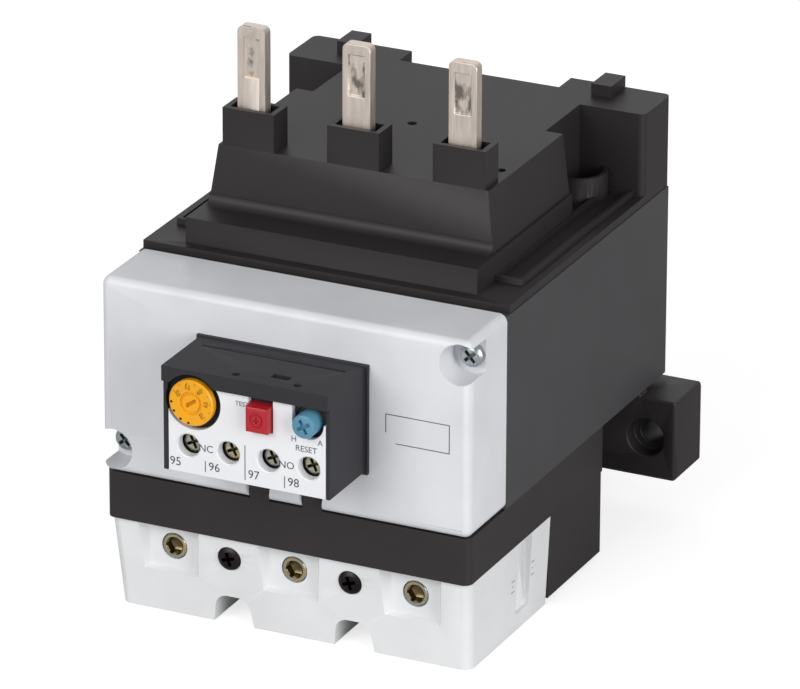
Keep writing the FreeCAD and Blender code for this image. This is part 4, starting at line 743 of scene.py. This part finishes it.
class RELAY_OT_keys(bpy.types.Operator):
    """Test button, reset button and the sleeve around it"""
    bl_idname = "relay.keys"
    bl_label = "Keys"

    def execute(self, context):
        self.key("test_button", "test_key", "red_plastic", "test", self.test_stages)
        self.key("reset_button", "reset_key", "blue_plastic", "reset", self.reset_stages)
        rounded("reset_sleeve", context.scene.relay_sizes.metal_round, "module")
        return {"FINISHED"}

    def key(self, node, body, slot, finish, stages):
        """One button, turned in place of its node."""
        low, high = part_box(node)
        middle = (low + high) / 2
        half_wide, half_tall = (high.x - low.x) / 2, (high.z - low.z) / 2
        button = turned(node + "_finished", (middle.x, middle.z),
                        stages(low.y, high.y, half_wide, half_tall))
        settle(button, body, finish)
        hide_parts(node)

    def test_stages(self, front, back, half_wide, half_tall):
        """Outlines of the square button: bore, body, and a cross in a round groove."""
        spring_bore, edge, groove = 1.85 * MM, 0.35 * MM, front + 0.3 * MM
        body = slot_line(half_wide, half_tall)
        eased = slot_line(half_wide - edge * 0.3, half_tall - edge * 0.3)
        face = slot_line(half_wide - edge, half_tall - edge)
        return [(front + 6.5 * MM, spring_bore), (back, spring_bore), (back, body),
                (front + edge, body), (front + edge * 0.3, eased), (front, face),
                (front, 1.75 * MM), (groove, 1.6 * MM), (groove, 1.3 * MM), (front, 1.15 * MM),
                (front, cross_line(0.8 * MM, 0.2 * MM)),
                (front + 0.35 * MM, cross_line(0.75 * MM, 0.16 * MM))]

    def reset_stages(self, front, back, radius, _):
        """Outlines of the round button: bore, body, and a cross for a screwdriver."""
        spring_bore, turn = 1.85 * MM, 0.5
        return [(front + 6.3 * MM, spring_bore), (back, spring_bore), (back, radius),
                (front + 0.5 * MM, radius), (front + 0.15 * MM, radius - 0.15 * MM),
                (front, radius - 0.5 * MM), (front, cross_line(1.75 * MM, 0.42 * MM, turn)),
                (front + 0.9 * MM, cross_line(1.6 * MM, 0.36 * MM, turn))]


class RELAY_OT_fasteners(bpy.types.Operator):
    """All screws with their recesses, and the clamps and plates that they hold"""
    bl_idname = "relay.fasteners"
    bl_label = "Fasteners"

    def execute(self, context):
        radius = context.scene.relay_sizes.metal_round
        for number in AUX_NUMBERS:
            node = "aux_screw_" + number
            low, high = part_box(node)
            centre = ((low.x + high.x) / 2, (low.z + high.z) / 2)
            self.place(node, [centre], "warm_zinc", "recess", head=(high.x - low.x) / 2 + 0.2 * MM,
                       depth=2.0 * MM, stem=1.75 * MM, cross=(1.6 * MM, 0.36 * MM, 0.45),
                       recess=1.3 * MM, dome=0.6 * MM)
            self.collar(number, centre, low.y)
            rounded("aux_clamp_" + number, radius, "zinc")
            rounded("aux_plate_" + number, radius, "tin")
        for pole in POLES:
            self.main_screw("terminal_screw_" + pole)
            rounded("terminal_cage_" + pole, radius, "zinc")
        low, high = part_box("terminal_cover_screws")
        across, up = 15 * MM, 17 * MM
        self.place("terminal_cover_screws", [(-across, up), (across, up)], "dark_steel",
                   "dark_recess", head=(high.z - low.z) / 2, depth=2.2 * MM, stem=1.5 * MM,
                   cross=(1.7 * MM, 0.4 * MM, 0.3), recess=1.4 * MM, dome=0.5 * MM)
        low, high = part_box("cover_screws")
        head = 2.7 * MM
        self.place("cover_screws", [(low.x + head, low.z + head), (high.x - head, high.z - head)],
                   "zinc", "zinc_recess", head=head, depth=2.4 * MM, stem=1.6 * MM,
                   cross=(1.7 * MM, 0.4 * MM, 0.7), recess=1.4 * MM, dome=0.8 * MM)
        for node in ("foot_screws", "section_screws", "adapter_screws"):
            rounded(node, radius, "zinc")
        return {"FINISHED"}

    def place(self, node, centres, finish, driver, **sizes):
        """Cross-recess screws in place of a node; driver is the darker finish of the recess,
        painted shade.
        """
        low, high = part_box(node)
        for i, centre in enumerate(centres):
            stages = screw_stages(low.y, high.y, **sizes)
            name = node + ("_finished" if len(centres) == 1 else "_finished_%d" % (i + 1))
            piece = turned(name, centre, stages)
            settle(piece, body_of_node(node), finish)
            paint_recess_shade(piece, centre, sizes["cross"][0], driver)
            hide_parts(node)

    def collar(self, number, centre, back):
        """Pale collar of the label plate round a control screw's opening."""
        front, wide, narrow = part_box("label_plate")[0].y, 2.88 * MM, 2.7 * MM
        shape = bmesh.new()
        corners = [shape.verts.new((centre[0] + reach, y, centre[1]))
                   for reach, y in ((wide, front + 0.1 * MM), (wide, back), (narrow, back),
                                    (narrow, front + 0.2 * MM))]
        for first, second in zip(corners, corners[1:] + corners[:1]):
            shape.edges.new((first, second))
        bmesh.ops.spin(shape, geom=shape.verts[:] + shape.edges[:],
                       cent=(centre[0], front, centre[1]), axis=(0, 1, 0), angle=FULL_TURN,
                       steps=48, use_merge=True)
        bmesh.ops.remove_doubles(shape, verts=shape.verts, dist=WELD)
        bmesh.ops.recalc_face_normals(shape, faces=shape.faces)
        piece = new_piece("label_collar_" + number, shape)
        smooth_by_angle(piece, 35)
        settle(piece, "base", "label")

    def main_screw(self, node):
        """A headed pressure screw with a hexagon socket and a wider thread behind."""
        low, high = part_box(node)
        front, tip = low.y, high.y
        centre = ((low.x + high.x) / 2, (low.z + high.z) / 2)
        socket, head, crest, root, pitch = 2.1 * MM, 3.0 * MM, 4.0 * MM, 3.6 * MM, 1.0 * MM
        shoulder = front + 4.6 * MM
        stages = [(front + 2.6 * MM, hexagon_line(1.5 * MM)),
                  (front + 2.3 * MM, hexagon_line(socket)),
                  (front + 0.3 * MM, hexagon_line(socket)), (front, socket + 0.1 * MM),
                  (front, head - 0.25 * MM), (front + 0.3 * MM, head),
                  (shoulder, head), (shoulder, 3.5 * MM), (front + 5.0 * MM, crest),
                  *thread_rings(front + 5.2 * MM, tip - 0.6 * MM, crest, root, pitch),
                  (tip - 0.5 * MM, 3.9 * MM), (tip, 3.3 * MM)]
        piece = turned(node + "_finished", centre, stages)
        settle(piece, body_of_node(node), "rim")
        # The socket's faces get a darker finish: painted shade inside the hexagon socket.
        paint_recess_shade(piece, centre, socket + 0.05 * MM, "socket")
        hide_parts(node)


class RELAY_OT_conductors(bpy.types.Operator):
    """Blades, bars, rivets and bimetals"""
    bl_idname = "relay.conductors"
    bl_label = "Conductors"

    def execute(self, context):
        radius = context.scene.relay_sizes.metal_round
        for pole in POLES:
            rounded("contact_blade_" + pole, radius, "blade")
            coat("heater_bar_" + pole, "copper")
            coat("bimetal_" + pole, "strip")
        coat("bar_rivets", "copper")
        return {"FINISHED"}


class RELAY_OT_mechanism(bpy.types.Operator):
    """Inner slide, lever, contacts and springs"""
    bl_idname = "relay.mechanism"
    bl_label = "Mechanism"

    def execute(self, context):
        for node, finish in (("trip_slide", "natural"), ("compensation_lever", "natural"),
                             ("contact_carrier", "natural"), ("lever_pin", "zinc"),
                             ("closed_bridge", "tin"), ("open_bridge", "tin"),
                             ("test_spring", "wire"), ("reset_spring", "wire")):
            coat(node, finish)
        return {"FINISHED"}


class RELAY_OT_stage(bpy.types.Operator):
    """Pale floor, soft lamps and the camera"""
    bl_idname = "relay.stage"
    bl_label = "Stage"

    def execute(self, context):
        scene = context.scene
        scene.view_settings.view_transform = "Standard"
        ground_spot, ground_half = (0, 0, CAD_BOX[0][2] - 0.2 * MM), 6.0
        wall_spot, wall_half = (-1.2, 3.0, 2.4), 2.2
        ground = bmesh.new()
        bmesh.ops.create_grid(ground, x_segments=1, y_segments=1, size=ground_half,
                              matrix=Matrix.Translation(ground_spot))
        wall = bmesh.new()
        bmesh.ops.create_grid(wall, x_segments=1, y_segments=1, size=wall_half,
                              matrix=Matrix.Translation(wall_spot) @ UPRIGHT)
        for name, shape, glow, tone in (("floor", ground, 0.7, 0.55),
                                        ("backdrop", wall, 0.9, 0.5)):
            piece = new_piece(name, shape)
            piece.data.materials.append(stage_paint("Stage " + name, glow, tone, name))
        self.sky(scene)
        for name, spot, size, power in LAMPS:
            self.lamp(name, spot, size, power)
        camera = bpy.data.cameras.new("camera")
        camera.lens = LENS
        camera.sensor_width = 36.0
        camera.clip_end = 20.0
        holder = bpy.data.objects.new("camera", camera)
        scene.collection.objects.link(holder)
        turn = Matrix(CAMERA_SIDES).transposed().to_4x4()
        holder.matrix_world = Matrix.Translation(CAMERA_SPOT) @ turn
        scene.camera = holder
        return {"FINISHED"}

    def sky(self, scene):
        """Even light, which the camera alone sees as white."""
        world = bpy.data.worlds.new("sky")
        scene.world = world
        world.use_nodes = True
        tree = world.node_tree
        light = tree.nodes["Background"]
        light.inputs["Color"].default_value = (1, 1, 1, 1)
        light.inputs["Strength"].default_value = SKY_LIGHT
        seen = tree.nodes.new("ShaderNodeBackground")
        seen.inputs["Color"].default_value = (1, 1, 1, 1)
        seen.inputs["Strength"].default_value = 1.0
        path = tree.nodes.new("ShaderNodeLightPath")
        mix = tree.nodes.new("ShaderNodeMixShader")
        tree.links.new(path.outputs["Is Camera Ray"], mix.inputs[0])
        tree.links.new(light.outputs[0], mix.inputs[1])
        tree.links.new(seen.outputs[0], mix.inputs[2])
        tree.links.new(mix.outputs[0], tree.nodes["World Output"].inputs["Surface"])

    def lamp(self, name, spot, size, power):
        """A round soft lamp that points at the relay."""
        light = bpy.data.lights.new(name, "AREA")
        light.shape = "DISK"
        light.size = size
        light.energy = power
        holder = bpy.data.objects.new(name, light)
        bpy.context.scene.collection.objects.link(holder)
        turn = (Vector(LAMP_TARGET) - Vector(spot)).to_track_quat("-Z", "Y")
        holder.matrix_world = Matrix.Translation(spot) @ turn.to_matrix().to_4x4()


# ---------------------------------------------------------------- Panel and running

class RELAY_PT_panel(bpy.types.Panel):
    """Sizes, colours and builders of the relay"""
    bl_label = "Relay"
    bl_idname = "RELAY_PT_panel"
    bl_space_type = "VIEW_3D"
    bl_region_type = "UI"
    bl_category = "Relay"

    def draw(self, context):
        layout = self.layout
        for group in (context.scene.relay_sizes, context.scene.relay_colours):
            for key in group.__annotations__:
                layout.prop(group, key)
        for operator in OPERATORS:
            layout.operator(operator.bl_idname)


OPERATORS = (RELAY_OT_mouldings, RELAY_OT_printing, RELAY_OT_dial, RELAY_OT_keys,
             RELAY_OT_fasteners, RELAY_OT_conductors, RELAY_OT_mechanism, RELAY_OT_stage)
CLASSES = (RelayColours, RelaySizes, *OPERATORS, RELAY_PT_panel)


def register():
    for cls in CLASSES:
        bpy.utils.register_class(cls)
    bpy.types.Scene.relay_colours = PointerProperty(type=RelayColours)
    bpy.types.Scene.relay_sizes = PointerProperty(type=RelaySizes)


def unregister():
    del bpy.types.Scene.relay_sizes
    del bpy.types.Scene.relay_colours
    for cls in reversed(CLASSES):
        bpy.utils.unregister_class(cls)


def main():
    """Builds the relay and its stage."""
    register()
    make_finishes()
    for operator in OPERATORS:
        group, name = operator.bl_idname.split(".")
        getattr(getattr(bpy.ops, group), name)()


if __name__ == "__main__":
    main()
